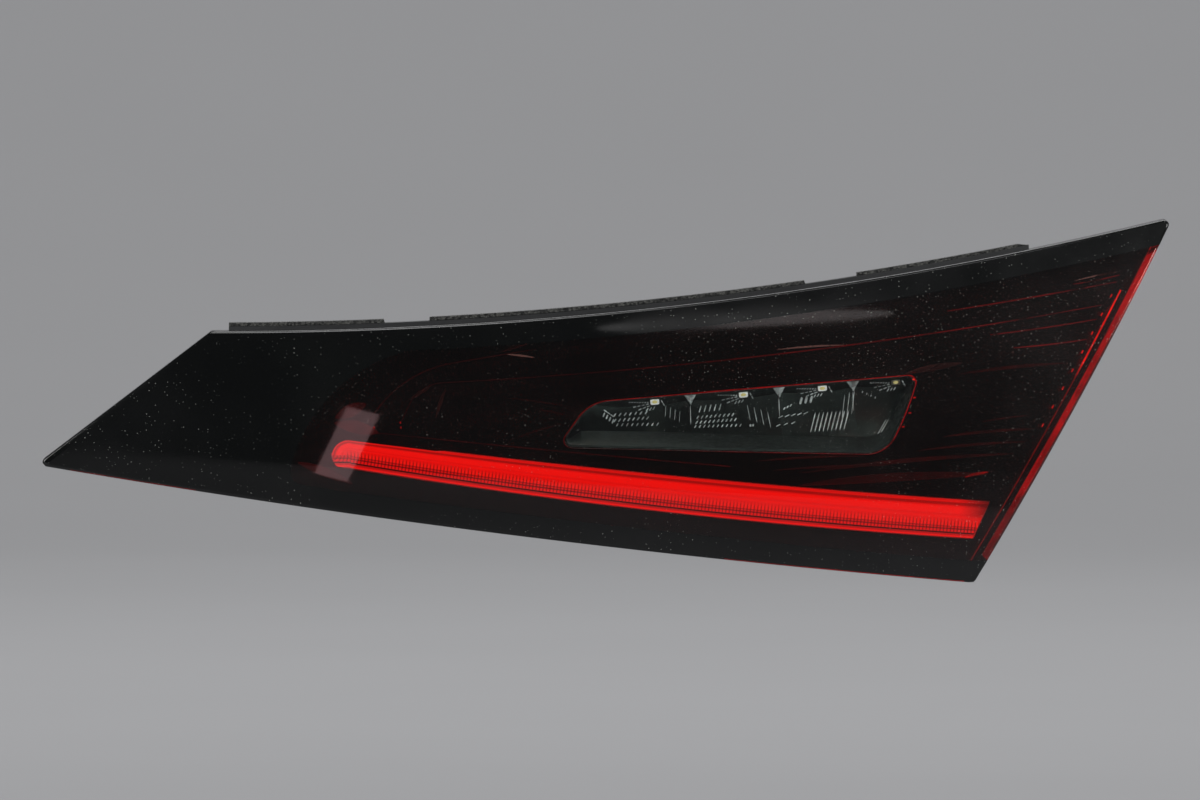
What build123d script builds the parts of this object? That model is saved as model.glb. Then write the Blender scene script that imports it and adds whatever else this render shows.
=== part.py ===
from build123d import *
from math import atan2, cos, degrees, hypot, radians, sin, sqrt, tan
import os

# Tailgate lamp, right-hand side, in millimetres. X runs outboard, Y forwards into the tailgate, Z up.
# The origin is the root of the main stud, on the plane where the lamp seats on the tailgate.
# Flat places are given as they show from behind the vehicle, as (X, Z).

# Lens outline
inner_tip = (-235.5, -25.8)
inner_top = (-167.0, 26.5)
outer_tip = (208.3, 70.0)
outer_foot = (130.0, -71.5)
top_edge_sag = 10.8
side_edge_sag = 1.6
bottom_edge_sag = 3.4
lens_corner_radius = 1.8
least_radius = 0.4

# Curved face of the lens: a barrel whose crown line runs down outboard
crown_depth = 75.0
crown_point = (-30.0, -34.0)
crown_tilt = 7.5
plan_radius = 1100.0
rise_radius = 520.0
sweep_share = 0.62
spread_share = 0.4

# Lens moulding
lens_wall = 2.6
lens_skirt = 13.0
border_top = 9.2
border_bottom = 8.5
window_tip = (-136.0, -27.0)
window_shoulder = (-75.0, 21.0)
window_end_sag = 13.5
window_corner_radius = 5.0

# Housing and its joint with the lens
seal_thickness = 0.8
seal_width = 1.8
seal_edge = 0.4
seal_play = 0.05
flange_wall = 3.0
tub_wall = 2.0
tub_inset = 4.0
tub_inner_x = -128.0
tub_corner_radius = 12.0
tub_draft = 1.0
tub_back_y = -9.0
back_rib_places = (-70.0, -25.0, 27.0, 94.0)
back_rib_width = 1.6
back_rib_height = 4.0
back_rib_margin = 3.0

# Rail and foam strips along the top edge
rail_rise = 1.5
rail_depth = 10.0
rail_bite = 4.6
strip_rise = 1.5
strip_edge = 0.8
inner_strip_x = (-160.3, -99.5)
middle_strip_x = (-82.0, 64.5)
outer_strip_x = (84.5, 152.0)

# Bezel
bezel_gap = 5.0
bezel_wall = 2.0
bezel_clearance = 0.5
bezel_inner_x = -150.0
bezel_corner_radius = 12.0
terrace_count = 3
terrace_step = 1.0
terrace_left = (-86.0, 19.0)
terrace_left_step = (15.0, -11.0)
terrace_right = (186.0, 44.5)
terrace_right_step = (-6.0, -9.0)
terrace_sag = 5.0
terrace_lean = 24.0
terrace_radius = 24.0
rail_line_inset = 4.9
rail_line_width = 0.8
rail_line_height = 1.2
nub_count = 8
nub_span = (0.17, 0.57)
nub_size = (0.9, 1.8)
nub_height = 0.8
nub_offset = 2.6

# Reversing lamp
pocket_inner_bottom = (-32.2, -18.4)
pocket_outer_bottom = (95.2, -21.3)
pocket_outer_top = (108.2, 9.6)
pocket_inner_top = (-19.5, -0.8)
pocket_sharp_radius = 3.0
pocket_inner_round = 16.0
pocket_outer_round = 13.0
pocket_side_sag = 1.2
reflector_wall = 1.6
reflector_back_y = -38.0
cell_count = 4
cell_columns = 6
cell_rows = 5
cell_pitch = 31.0
cell_lead = 17.0
first_led_along = 26.0
cell_tail = 14.0
end_margin = 10.0
dish_depth = 3.0
dish_limit = 6.0
bowl_depth = 6.0
shelf_rise = 5.0
pocket_lip = 0.8
ledge_depth = 8.0
ledge_drop = 4.2
ledge_top = 0.4

# Light-emitting packages and boards
led_length = 3.5
led_width = 2.8
led_height = 1.9
slot_clearance = 0.3
board_thickness = 1.6
reverse_board_width = 8.4
reverse_board_span = (8.0, 124.0)
sink_margin = 8.0
sink_base = 1.6
sink_fin_height = 6.0
sink_fin_width = 1.2
sink_fin_count = 11
tail_led_count = 14

# Tail light bar
bar_inner_top = (-114.5, -15.5)
bar_outer_top = (136.2, -40.3)
bar_inner_bottom = (-114.5, -26.5)
bar_outer_bottom = (129.6, -54.6)
bar_top_sag = 1.75
bar_bottom_sag = 2.9
bar_corner_radius = 0.8
bar_fit = 0.25
bar_back_depth = 15.0
band_shares = (0.0, 0.35, 0.83, 0.92, 1.0)
band_depths = (6.0, 7.6, 9.6, 7.0)
carrier_wall = 1.4
carrier_ledge = 1.4
carrier_back_y = -34.0

# Driver board and connector
driver_centre = (62.0, -24.0)
driver_size = (76.0, 36.0)
driver_corner_radius = 2.0
driver_standoff = 6.0
driver_post_radius = 3.2
driver_screw_inset = 4.5
main_chip = ((-20.0, 4.0), (10.0, 10.0), 1.6)
coil_block = ((2.0, 8.0), (12.0, 12.0), 6.0)
power_chip = ((20.0, -4.0), (7.0, 9.0), 2.4)
capacitor_places = ((-6.0, -9.0), (8.0, -9.0))
capacitor_radius = 3.2
capacitor_height = 7.0
small_screw_radius = 1.1
small_screw_length = 6.0
small_head_radius = 2.2
small_head_height = 1.6
connector_centre = (62.0, -20.0)
connector_size = (30.0, 15.0)
connector_wall = 1.8
connector_radius = 2.0
connector_end_y = 9.0
connector_base_y = -3.0
connector_flange = 3.0
contact_count = 6
contact_pitch = 4.0
contact_size = 1.2
contact_end_y = 3.0
gasket_width = 5.0
gasket_clearance = 0.5

# Studs and clip that hold the lamp to the tailgate
stud_points = ((0.0, 0.0), (118.0, 22.0), (-95.0, -8.0))
stud_radius = 3.0
stud_length = 20.0
stud_chamfer = 0.8
stud_root_radius = 4.5
stud_root_depth = 6.0
boss_radius = 8.0
foam_width = 5.0
foam_clearance = 0.4
clip_point = (-186.0, -12.0)
clip_tower = (16.0, 14.0)
clip_plate = (14.0, 12.0)
clip_plate_thickness = 2.0
clip_stem_radius = 3.6
clip_stem_length = 6.0
clip_head_radius = 4.8
clip_head_length = 7.0
clip_tip_radius = 2.0
wing_rib_height = 8.0
wing_rib_width = 1.6
wing_rib_inset = 5.0

# Breather
breather_point = (-46.0, -14.0)
breather_hole_radius = 2.5
membrane_radius = 4.5
membrane_thickness = 0.4
breather_radius = 8.0
breather_height = 5.0
breather_wall = 1.4
breather_slot_width = 3.0
breather_slot_height = 1.5

# Bezel screws
screw_radius = 1.75
screw_length = 11.0
screw_head_radius = 2.6
screw_head_height = 1.8
pillar_radius = 3.6
screw_sink = 1.2
screw_play = 0.2
screw_boss_length = 8.0
inner_screw = (-141.0, 1.0)
outer_top_screw = (195.5, 61.0)
outer_foot_screw = (121.0, -65.0)

# Leads
lead_radius = 1.4
lead_bend = 4.0
lead_play = 0.3
lead_rise = 7.0
lead_tab = 4.0
tail_lead_inset = (6.0, 12.0)
tail_lead_end = (42.0, -40.2)
reverse_lead_inset = (12.5, 5.0)

# Depths behind the face of the lens that more than one piece shares
flange_depth = lens_skirt + seal_thickness
bezel_depth = lens_wall + bezel_gap
terrace_back = bezel_depth + terrace_count * terrace_step + bezel_wall
bezel_edge = lens_wall + bezel_clearance
through = 2 * crown_depth
driver_back_y = tub_back_y - tub_wall - driver_standoff
driver_front_y = driver_back_y - board_thickness
driver_inner_x = driver_centre[0] - driver_size[0] / 2
driver_foot_z = driver_centre[1] - driver_size[1] / 2
driver_top_z = driver_centre[1] + driver_size[1] / 2
tail_lead_start = (driver_inner_x + tail_lead_inset[0], driver_foot_z + tail_lead_inset[1])
reverse_lead_start = (driver_inner_x + reverse_lead_inset[0], driver_top_z - reverse_lead_inset[1])

# Barrel that every curved layer is cut from
lens_span = hypot(outer_tip[0] - inner_tip[0], outer_tip[1] - inner_tip[1])
barrel_sweep = degrees(sweep_share * lens_span / plan_radius)
barrel_spread = degrees(spread_share * lens_span / rise_radius)
crown_along = Vector(cos(radians(crown_tilt)), 0, -sin(radians(crown_tilt)))
crown_up = Vector(sin(radians(crown_tilt)), 0, cos(radians(crown_tilt)))
barrel_centre = Vector(crown_point[0], plan_radius - crown_depth, crown_point[1])
first_section_x = Vector(0, 1, 0) * cos(radians(barrel_sweep)) + crown_along * sin(radians(barrel_sweep))
first_section = Plane(barrel_centre, x_dir=first_section_x, z_dir=first_section_x.cross(crown_up))
front_plane = Plane.XZ.offset(crown_depth + lens_wall)


def along(start, end, share):
    """The point at a share of the way from one front-view point to another."""
    return (start[0] + share * (end[0] - start[0]), start[1] + share * (end[1] - start[1]))


def facing(y):
    """The plane seen from behind the vehicle at one Y, with local X and Y along X and Z."""
    return Plane.XZ.offset(-y)


def layer(front, back):
    """The barrel-shaped slab between two depths behind the face of the lens."""
    with BuildPart() as slab:
        with BuildSketch(first_section):
            with BuildLine():
                centre = (rise_radius - plan_radius, 0)
                near = CenterArc(centre, rise_radius - front, 180 - barrel_spread, 2 * barrel_spread)
                far = CenterArc(centre, rise_radius - back, 180 - barrel_spread, 2 * barrel_spread)
                Line(near @ 0, far @ 0)
                Line(near @ 1, far @ 1)
            make_face()
        revolve(axis=Axis(barrel_centre, crown_up), revolution_arc=2 * barrel_sweep)
    return slab.part


def curved(face, front, back):
    """What shows as the given face from behind the vehicle, between two depths behind the lens face."""
    with BuildPart() as piece:
        with BuildSketch(front_plane):
            add(face)
        extrude(amount=-through)
        add(layer(front, back), mode=Mode.INTERSECT)
    return piece.part


def column(face, front, back_y, draft=0.0):
    """What shows as the given face, from a depth behind the lens face to a flat back."""
    with BuildPart() as piece:
        with BuildSketch(facing(-crown_depth)):
            add(face)
        extrude(amount=-(crown_depth + back_y), taper=draft)
        add(layer(front, through), mode=Mode.INTERSECT)
    return piece.part


def layer_y(point, depth):
    """Y of the curved layer at one depth, at a front-view point."""
    sideways = (point[0] - crown_point[0]) * crown_along.X + (point[1] - crown_point[1]) * crown_along.Z
    upwards = (point[0] - crown_point[0]) * crown_up.X + (point[1] - crown_point[1]) * crown_up.Z
    reach = plan_radius - rise_radius + sqrt((rise_radius - depth) ** 2 - upwards**2)
    return plan_radius - crown_depth - sqrt(reach**2 - sideways**2)


def common(face, region):
    """The part of a face that lies in a region."""
    with BuildSketch() as kept:
        add(face)
        add(region, mode=Mode.INTERSECT)
    return kept.sketch


def less(face, region):
    """A face with a region taken away."""
    with BuildSketch() as kept:
        add(face)
        add(region, mode=Mode.SUBTRACT)
    return kept.sketch


def between(x_from, x_to):
    """Everything in the front view between two places along X."""
    with BuildSketch() as strip:
        with Locations(((x_from + x_to) / 2, 0)):
            Rectangle(x_to - x_from, 2 * lens_span)
    return strip.sketch


def lens_outline(grow=0.0):
    """Front view of the lens, grown outwards or, below zero, drawn inwards."""
    with BuildSketch() as outline:
        with BuildLine():
            Line(inner_tip, inner_top)
            SagittaArc(inner_top, outer_tip, -top_edge_sag)
            SagittaArc(outer_tip, outer_foot, side_edge_sag)
            SagittaArc(outer_foot, inner_tip, bottom_edge_sag)
        make_face()
        if grow:
            offset(amount=grow, kind=Kind.INTERSECTION)
        fillet(outline.vertices(), max(lens_corner_radius + grow, least_radius))
    return outline.sketch


def edge_ring(outer, inner):
    """The band of the lens between two insets from its edge."""
    return less(lens_outline(-outer), lens_outline(-inner))


def window_region():
    """Where the lens is see-through. It runs out past the outer side of the lens."""
    top_inner = (inner_top[0], inner_top[1] - border_top)
    top_outer = (outer_tip[0], outer_tip[1] - border_top)
    bottom_outer = (outer_foot[0], outer_foot[1] + border_bottom)
    bottom_inner = (inner_tip[0], inner_tip[1] + border_bottom)
    far_x = outer_tip[0] + border_top
    with BuildSketch() as region:
        with BuildLine():
            SagittaArc(top_inner, top_outer, -top_edge_sag)
            Line(top_outer, (far_x, top_outer[1]))
            Line((far_x, top_outer[1]), (far_x, bottom_outer[1]))
            Line((far_x, bottom_outer[1]), bottom_outer)
            SagittaArc(bottom_outer, bottom_inner, bottom_edge_sag)
            Line(bottom_inner, top_inner)
        make_face()
        with BuildSketch(mode=Mode.INTERSECT):
            with BuildLine():
                SagittaArc(window_tip, window_shoulder, window_end_sag)
                Line(window_shoulder, (window_shoulder[0], lens_span))
                Line((window_shoulder[0], lens_span), (lens_span, lens_span))
                Line((lens_span, lens_span), (lens_span, -lens_span))
                Line((lens_span, -lens_span), (window_tip[0], -lens_span))
                Line((window_tip[0], -lens_span), window_tip)
            make_face()
        fillet(region.vertices().sort_by(Axis.X)[:2].sort_by(Axis.Y)[:1], window_corner_radius)
    return region.sketch


def end_cut(face, inner_x, radius):
    """A face cut off square at its inner end, with the two new corners rounded."""
    with BuildSketch() as cut:
        add(face)
        add(between(inner_x, lens_span), mode=Mode.INTERSECT)
        fillet(cut.vertices().sort_by(Axis.X)[:2], radius)
    return cut.sketch


def pocket_outline(grow=0.0):
    """Front view of the reversing lamp's opening."""
    with BuildSketch() as outline:
        with BuildLine():
            Line(pocket_inner_bottom, pocket_outer_bottom)
            SagittaArc(pocket_outer_bottom, pocket_outer_top, -pocket_side_sag)
            Line(pocket_outer_top, pocket_inner_top)
            Line(pocket_inner_top, pocket_inner_bottom)
        make_face()
        if grow:
            offset(amount=grow, kind=Kind.INTERSECTION)
        corners = outline.vertices().sort_by(Axis.X)
        fillet(corners[0::3], max(pocket_sharp_radius + grow, least_radius))
        fillet(outline.vertices().sort_by_distance(pocket_outer_bottom)[:1], pocket_outer_round + grow)
        fillet(outline.vertices().sort_by_distance(pocket_inner_top)[:1], pocket_inner_round + grow)
    return outline.sketch


def bar_zone(upper, lower):
    """The stretch of the light bar between two shares of its height, square at both ends."""
    zone_inner_top = along(bar_inner_top, bar_inner_bottom, upper)
    zone_outer_top = along(bar_outer_top, bar_outer_bottom, upper)
    zone_inner_bottom = along(bar_inner_top, bar_inner_bottom, lower)
    zone_outer_bottom = along(bar_outer_top, bar_outer_bottom, lower)
    upper_sag = bar_top_sag + upper * (bar_bottom_sag - bar_top_sag)
    lower_sag = bar_top_sag + lower * (bar_bottom_sag - bar_top_sag)
    with BuildSketch() as zone:
        with BuildLine():
            SagittaArc(zone_inner_top, zone_outer_top, -upper_sag)
            Line(zone_outer_top, zone_outer_bottom)
            SagittaArc(zone_outer_bottom, zone_inner_bottom, lower_sag)
            Line(zone_inner_bottom, zone_inner_top)
        make_face()
    return zone.sketch


def bar_outline(grow=0.0):
    """Front view of the light bar, with its round inner end, grown outwards or drawn inwards."""
    top_inner = (bar_inner_top[0], bar_inner_top[1] + grow)
    top_outer = (bar_outer_top[0] + grow, bar_outer_top[1] + grow)
    bottom_outer = (bar_outer_bottom[0] + grow, bar_outer_bottom[1] - grow)
    bottom_inner = (bar_inner_bottom[0], bar_inner_bottom[1] - grow)
    with BuildSketch() as outline:
        with BuildLine():
            SagittaArc(top_inner, top_outer, -bar_top_sag)
            Line(top_outer, bottom_outer)
            SagittaArc(bottom_outer, bottom_inner, bar_bottom_sag)
            SagittaArc(bottom_inner, top_inner, (top_inner[1] - bottom_inner[1]) / 2)
        make_face()
        fillet(outline.vertices().sort_by(Axis.X)[-2:], max(bar_corner_radius + grow, least_radius))
    return outline.sketch


def terrace(level):
    """The area inside one of the bezel's sweeping steps."""
    left = (terrace_left[0] + level * terrace_left_step[0], terrace_left[1] + level * terrace_left_step[1])
    right_x = terrace_right[0] + level * terrace_right_step[0]
    right = (right_x, terrace_right[1] + level * terrace_right_step[1])
    low = inner_tip[1] - lens_span / 2
    foot = (left[0] - (left[1] - low) * sin(radians(terrace_lean)), low)
    with BuildSketch() as area:
        with BuildLine():
            SagittaArc(left, right, -terrace_sag)
            Line(right, (lens_span, right[1]))
            Line((lens_span, right[1]), (lens_span, low))
            Line((lens_span, low), foot)
            Line(foot, left)
        make_face()
        fillet(area.vertices().sort_by_distance(left)[:1], terrace_radius)
    return area.sketch


def disc(point, radius):
    """A round face at a front-view point."""
    with BuildSketch() as face:
        with Locations(point):
            Circle(radius)
    return face.sketch


def block(point, size, radius=0.0):
    """A rectangular face at a front-view point, with round corners if wanted."""
    with BuildSketch() as face:
        with Locations(point):
            Rectangle(size[0], size[1])
        if radius:
            fillet(face.vertices(), radius)
    return face.sketch


def top_edge_band(outer, inner, x_from, x_to):
    """The band between two offsets from the top edge of the lens, over a stretch of X."""
    outer_middle = along(outer_tip, outer_foot, 0.5)
    above_middle = (outer_middle[0], lens_span)
    above_tip = (inner_tip[0], lens_span)
    with BuildSketch() as band:
        add(less(lens_outline(outer), lens_outline(inner)))
        add(between(x_from, x_to), mode=Mode.INTERSECT)
        with BuildSketch(mode=Mode.INTERSECT):
            with BuildLine():
                Polyline(inner_tip, outer_middle, above_middle, above_tip, close=True)
            make_face()
    return band.sketch


def grown(size, by):
    """A width and height with the same margin added on every side."""
    return (size[0] + 2 * by, size[1] + 2 * by)


# Outer lens, moulded in three colours. The red shot also forms the side wall at the outer end.
window = common(lens_outline(), window_region())
lens_edge = edge_ring(0, lens_wall)
with BuildPart() as lens_red:
    add(curved(less(window, pocket_outline()), 0, lens_wall))
    add(curved(common(lens_edge, window_region()), 0, lens_skirt))
lens_red.part.label = "lens_red"
export_step(lens_red.part, "parts/lens_red.step")

with BuildPart() as lens_black_frame:
    add(curved(less(lens_outline(), window_region()), 0, lens_wall))
    add(curved(less(lens_edge, window_region()), 0, lens_skirt))
lens_black_frame.part.label = "lens_black_frame"
export_step(lens_black_frame.part, "parts/lens_black_frame.step")

with BuildPart() as lens_reverse_window:
    add(curved(pocket_outline(), 0, lens_wall))
lens_reverse_window.part.label = "lens_reverse_window"
export_step(lens_reverse_window.part, "parts/lens_reverse_window.step")

# Butyl bead that the foot of the lens wall stands on
with BuildPart() as lens_seal:
    add(curved(edge_ring(seal_edge, seal_edge + seal_width), lens_skirt, flange_depth - seal_play))
lens_seal.part.label = "lens_seal"
export_step(lens_seal.part, "parts/lens_seal.step")

# Threaded studs, moulded into the housing by their thick roots
with BuildPart() as mounting_studs:
    with BuildSketch(facing(-stud_root_depth)):
        with Locations(*stud_points):
            Circle(stud_root_radius)
    extrude(amount=-stud_root_depth)
    with BuildSketch(facing(0)):
        with Locations(*stud_points):
            Circle(stud_radius)
    extrude(amount=-stud_length)
    chamfer(mounting_studs.faces().sort_by(Axis.Y)[-len(stud_points):].edges(), stud_chamfer)
mounting_studs.part.label = "mounting_studs"
export_step(mounting_studs.part, "parts/mounting_studs.step")

# Screws that hold the bezel to the flange of the housing, sunk in pillars under the black border
screw_points = (inner_screw, outer_top_screw, outer_foot_screw)
with BuildPart() as bezel_screws:
    for point in screw_points:
        seat_y = layer_y(point, bezel_depth) + screw_sink
        with BuildSketch(facing(seat_y)):
            add(disc(point, screw_head_radius))
        extrude(amount=screw_head_height)
        with BuildSketch(facing(seat_y)):
            add(disc(point, screw_radius))
        extrude(amount=-screw_length)
bezel_screws.part.label = "bezel_screws"
export_step(bezel_screws.part, "parts/bezel_screws.step")

# Screws of the driver board
driver_pitch = grown(driver_size, -driver_screw_inset)
with BuildPart() as driver_screws:
    with BuildSketch(facing(driver_front_y)):
        with Locations(driver_centre):
            with GridLocations(driver_pitch[0], driver_pitch[1], 2, 2):
                Circle(small_head_radius)
    extrude(amount=small_head_height)
    with BuildSketch(facing(driver_front_y)):
        with Locations(driver_centre):
            with GridLocations(driver_pitch[0], driver_pitch[1], 2, 2):
                Circle(small_screw_radius)
    extrude(amount=-small_screw_length)
driver_screws.part.label = "driver_screws"
export_step(driver_screws.part, "parts/driver_screws.step")

# Rear housing: flange, tub, top rail, stud bosses, screw bosses, board posts and the wing's clip tower
tub_face = end_cut(lens_outline(-tub_inset), tub_inner_x, tub_corner_radius)
hollow_radius = tub_corner_radius - tub_wall
tub_hollow = end_cut(lens_outline(-tub_inset - tub_wall), tub_inner_x + tub_wall, hollow_radius)
flange_back = flange_depth + flange_wall
tub_floor_y = tub_back_y - tub_wall
wing_face = common(lens_outline(-wing_rib_inset), between(inner_tip[0], tub_inner_x + tub_wall))
wing_size = 2 * (tub_inner_x - inner_tip[0])
rail_x = (inner_strip_x[0], outer_strip_x[1])
back_inset = (crown_depth + tub_back_y) * tan(radians(tub_draft)) + back_rib_margin
back_face = end_cut(lens_outline(-tub_inset - back_inset), tub_inner_x + back_inset, tub_corner_radius)
with BuildPart() as rear_housing:
    add(curved(lens_outline(), flange_depth, flange_back))
    add(curved(top_edge_band(rail_rise, -rail_bite, *rail_x), flange_depth, flange_depth + rail_depth))
    add(column(tub_face, flange_depth, tub_back_y, tub_draft))
    add(column(tub_hollow, lens_wall, tub_floor_y, tub_draft), mode=Mode.SUBTRACT)
    for rib_size in ((wing_size, wing_rib_width), (wing_rib_width, wing_size)):
        wing_rib = common(block(clip_point, rib_size), wing_face)
        add(curved(wing_rib, flange_depth, flange_back + wing_rib_height))
    add(column(block(clip_point, clip_tower), flange_depth, -clip_plate_thickness))
    tower_hollow = block(clip_point, grown(clip_tower, -tub_wall))
    add(column(tower_hollow, lens_wall, -clip_plate_thickness - tub_wall), mode=Mode.SUBTRACT)
    for point in screw_points:
        add(curved(disc(point, pillar_radius), flange_depth, flange_depth + screw_boss_length))
    with BuildSketch(facing(0)):
        with Locations(*stud_points):
            Circle(boss_radius)
    extrude(amount=-tub_back_y)
    with BuildSketch(facing(tub_back_y)):
        for place in back_rib_places:
            add(common(block((place, 0), (back_rib_width, lens_span)), back_face))
    extrude(amount=-back_rib_height)
    with BuildSketch(facing(tub_floor_y)):
        with Locations(driver_centre):
            with GridLocations(driver_pitch[0], driver_pitch[1], 2, 2):
                Circle(driver_post_radius)
    extrude(amount=driver_standoff)
    with BuildSketch(facing(tub_floor_y)):
        add(block(connector_centre, connector_size, connector_radius))
        add(disc(breather_point, breather_hole_radius))
    extrude(amount=-tub_wall, mode=Mode.SUBTRACT)
    add(mounting_studs.part, mode=Mode.SUBTRACT)
    add(bezel_screws.part, mode=Mode.SUBTRACT)
    add(driver_screws.part, mode=Mode.SUBTRACT)
rear_housing.part.label = "rear_housing"
export_step(rear_housing.part, "parts/rear_housing.step")

# Foam strips stuck along the top rail
strip_front = flange_depth + strip_edge
strip_back = flange_depth + rail_depth - strip_edge
with BuildPart() as top_seal_inner:
    add(curved(top_edge_band(rail_rise + strip_rise, rail_rise, *inner_strip_x), strip_front, strip_back))
top_seal_inner.part.label = "top_seal_inner"
export_step(top_seal_inner.part, "parts/top_seal_inner.step")

with BuildPart() as top_seal_middle:
    add(curved(top_edge_band(rail_rise + strip_rise, rail_rise, *middle_strip_x), strip_front, strip_back))
top_seal_middle.part.label = "top_seal_middle"
export_step(top_seal_middle.part, "parts/top_seal_middle.step")

with BuildPart() as top_seal_outer:
    add(curved(top_edge_band(rail_rise + strip_rise, rail_rise, *outer_strip_x), strip_front, strip_back))
top_seal_outer.part.label = "top_seal_outer"
export_step(top_seal_outer.part, "parts/top_seal_outer.step")

# Bezel: a sheet in sweeping terraces, with a wall down to the flange and openings for the lamps
bezel_face = end_cut(lens_outline(-bezel_edge), bezel_inner_x, bezel_corner_radius)
hollow_x = bezel_inner_x + bezel_wall
bezel_hollow = end_cut(lens_outline(-bezel_edge - bezel_wall), hollow_x, bezel_corner_radius - bezel_wall)
rail_line = common(edge_ring(rail_line_inset, rail_line_inset + rail_line_width), window_region())
side_angle = degrees(atan2(outer_tip[1] - outer_foot[1], outer_tip[0] - outer_foot[0]))
nub_inset = rail_line_inset + nub_offset
with BuildSketch() as nubs:
    for count in range(nub_count):
        share = nub_span[0] + (nub_span[1] - nub_span[0]) * count / (nub_count - 1)
        point = along(outer_tip, outer_foot, share)
        nub_x = point[0] - nub_inset * sin(radians(side_angle))
        nub_z = point[1] + nub_inset * cos(radians(side_angle))
        with Locations(Location((nub_x, nub_z, 0), (0, 0, side_angle))):
            Rectangle(nub_size[1], nub_size[0])
with BuildPart() as bezel:
    add(curved(less(bezel_face, terrace(0)), bezel_depth, bezel_depth + bezel_wall))
    for level in range(1, terrace_count):
        depth = bezel_depth + level * terrace_step
        add(curved(less(common(bezel_face, terrace(level - 1)), terrace(level)), depth, depth + bezel_wall))
    add(curved(common(bezel_face, terrace(terrace_count - 1)), terrace_back - bezel_wall, terrace_back))
    add(curved(less(bezel_face, bezel_hollow), bezel_depth, flange_depth))
    add(curved(rail_line, bezel_depth - rail_line_height, terrace_back))
    add(curved(common(nubs.sketch, bezel_hollow), bezel_depth - nub_height, terrace_back))
    for point in screw_points:
        add(curved(common(disc(point, pillar_radius), bezel_face), bezel_depth, flange_depth))
    add(curved(pocket_outline(), lens_wall, flange_depth), mode=Mode.SUBTRACT)
    add(curved(bar_outline(bar_fit), lens_wall, flange_depth), mode=Mode.SUBTRACT)
    for point in screw_points:
        with BuildSketch(facing(layer_y(point, bezel_depth) + screw_sink)):
            add(disc(point, screw_head_radius + screw_play))
        extrude(amount=bezel_gap, mode=Mode.SUBTRACT)
    add(bezel_screws.part, mode=Mode.SUBTRACT)
bezel.part.label = "bezel"
export_step(bezel.part, "parts/bezel.step")

# Tail light bar: bands of different depth, set in a trough behind the bezel
bar_end = common(bar_outline(-bar_fit), between(-lens_span, bar_inner_top[0]))
with BuildPart() as tail_light_bar:
    add(curved(bar_end, band_depths[0], bar_back_depth))
    for upper, lower, depth in zip(band_shares, band_shares[1:], band_depths):
        add(curved(common(bar_outline(-bar_fit), bar_zone(upper, lower)), depth, bar_back_depth))
tail_light_bar.part.label = "tail_light_bar"
export_step(tail_light_bar.part, "parts/tail_light_bar.step")

carrier_floor_y = carrier_back_y - carrier_wall
with BuildPart() as bar_carrier:
    add(column(bar_outline(carrier_wall), terrace_back, carrier_back_y))
    add(curved(bar_outline(), lens_wall, bar_back_depth), mode=Mode.SUBTRACT)
    add(column(bar_outline(-carrier_ledge), lens_wall, carrier_floor_y), mode=Mode.SUBTRACT)
    with BuildSketch(facing(carrier_back_y)):
        add(disc(tail_lead_end, lead_radius + lead_play))
    extrude(amount=carrier_wall, mode=Mode.SUBTRACT)
bar_carrier.part.label = "bar_carrier"
export_step(bar_carrier.part, "parts/bar_carrier.step")

with BuildPart() as tail_led_board:
    with BuildSketch(facing(carrier_floor_y)):
        add(bar_outline(-carrier_ledge - bar_fit))
    extrude(amount=board_thickness)
tail_led_board.part.label = "tail_led_board"
export_step(tail_led_board.part, "parts/tail_led_board.step")

bar_angle = degrees(atan2(bar_outer_top[1] - bar_inner_top[1], bar_outer_top[0] - bar_inner_top[0]))
bar_sag = (bar_top_sag + bar_bottom_sag) / 2
bar_start = along(bar_inner_top, bar_inner_bottom, 0.5)
bar_finish = along(bar_outer_top, bar_outer_bottom, 0.5)
with BuildPart() as tail_leds:
    with BuildSketch(facing(carrier_floor_y - board_thickness)):
        for count in range(tail_led_count):
            share = (count + 0.5) / tail_led_count
            point = along(bar_start, bar_finish, share)
            dip = bar_sag * (1 - (2 * share - 1) ** 2)
            with Locations(Location((point[0], point[1] - dip, 0), (0, 0, bar_angle))):
                Rectangle(led_length, led_width)
    extrude(amount=led_height)
tail_leds.part.label = "tail_leds"
export_step(tail_leds.part, "parts/tail_leds.step")

# Reversing lamp: its length runs along the top edge of the pocket
pocket_run = (pocket_outer_top[0] - pocket_inner_top[0], pocket_outer_top[1] - pocket_inner_top[1])
pocket_length = hypot(*pocket_run)
reverse_along = Vector(pocket_run[0], 0, pocket_run[1]) / pocket_length
reverse_up = Vector(-pocket_run[1], 0, pocket_run[0]) / pocket_length
reverse_origin = Vector(pocket_inner_top[0], 0, pocket_inner_top[1])
led_distances = [first_led_along + count * cell_pitch for count in range(cell_count)]
ledge_front_y = reflector_back_y - ledge_depth
ledge_width = hypot(ledge_depth, ledge_drop)
ledge_normal = (Vector(0, ledge_drop, 0) + reverse_up * ledge_depth) / ledge_width
ledge_middle = Vector(0, reflector_back_y - ledge_depth / 2, 0) - reverse_up * (ledge_top + ledge_drop / 2)
board_origin = reverse_origin + ledge_middle + ledge_normal * reflector_wall
board_plane = Plane(board_origin, x_dir=reverse_along, z_dir=ledge_normal)
board_middle = sum(reverse_board_span) / 2
board_length = reverse_board_span[1] - reverse_board_span[0]


def pocket_local(point):
    """A front-view point as distance along and height above the top edge of the pocket."""
    offset_x = point[0] - pocket_inner_top[0]
    offset_z = point[1] - pocket_inner_top[1]
    distance = offset_x * reverse_along.X + offset_z * reverse_along.Z
    height = offset_x * reverse_up.X + offset_z * reverse_up.Z
    return (distance, height)


def pocket_floor(distance):
    """Height of the pocket's bottom edge at a distance along its top edge."""
    inner = pocket_local(pocket_inner_bottom)
    outer = pocket_local(pocket_outer_bottom)
    return along(inner, outer, (distance - inner[0]) / (outer[0] - inner[0]))[1] + pocket_lip


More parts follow.
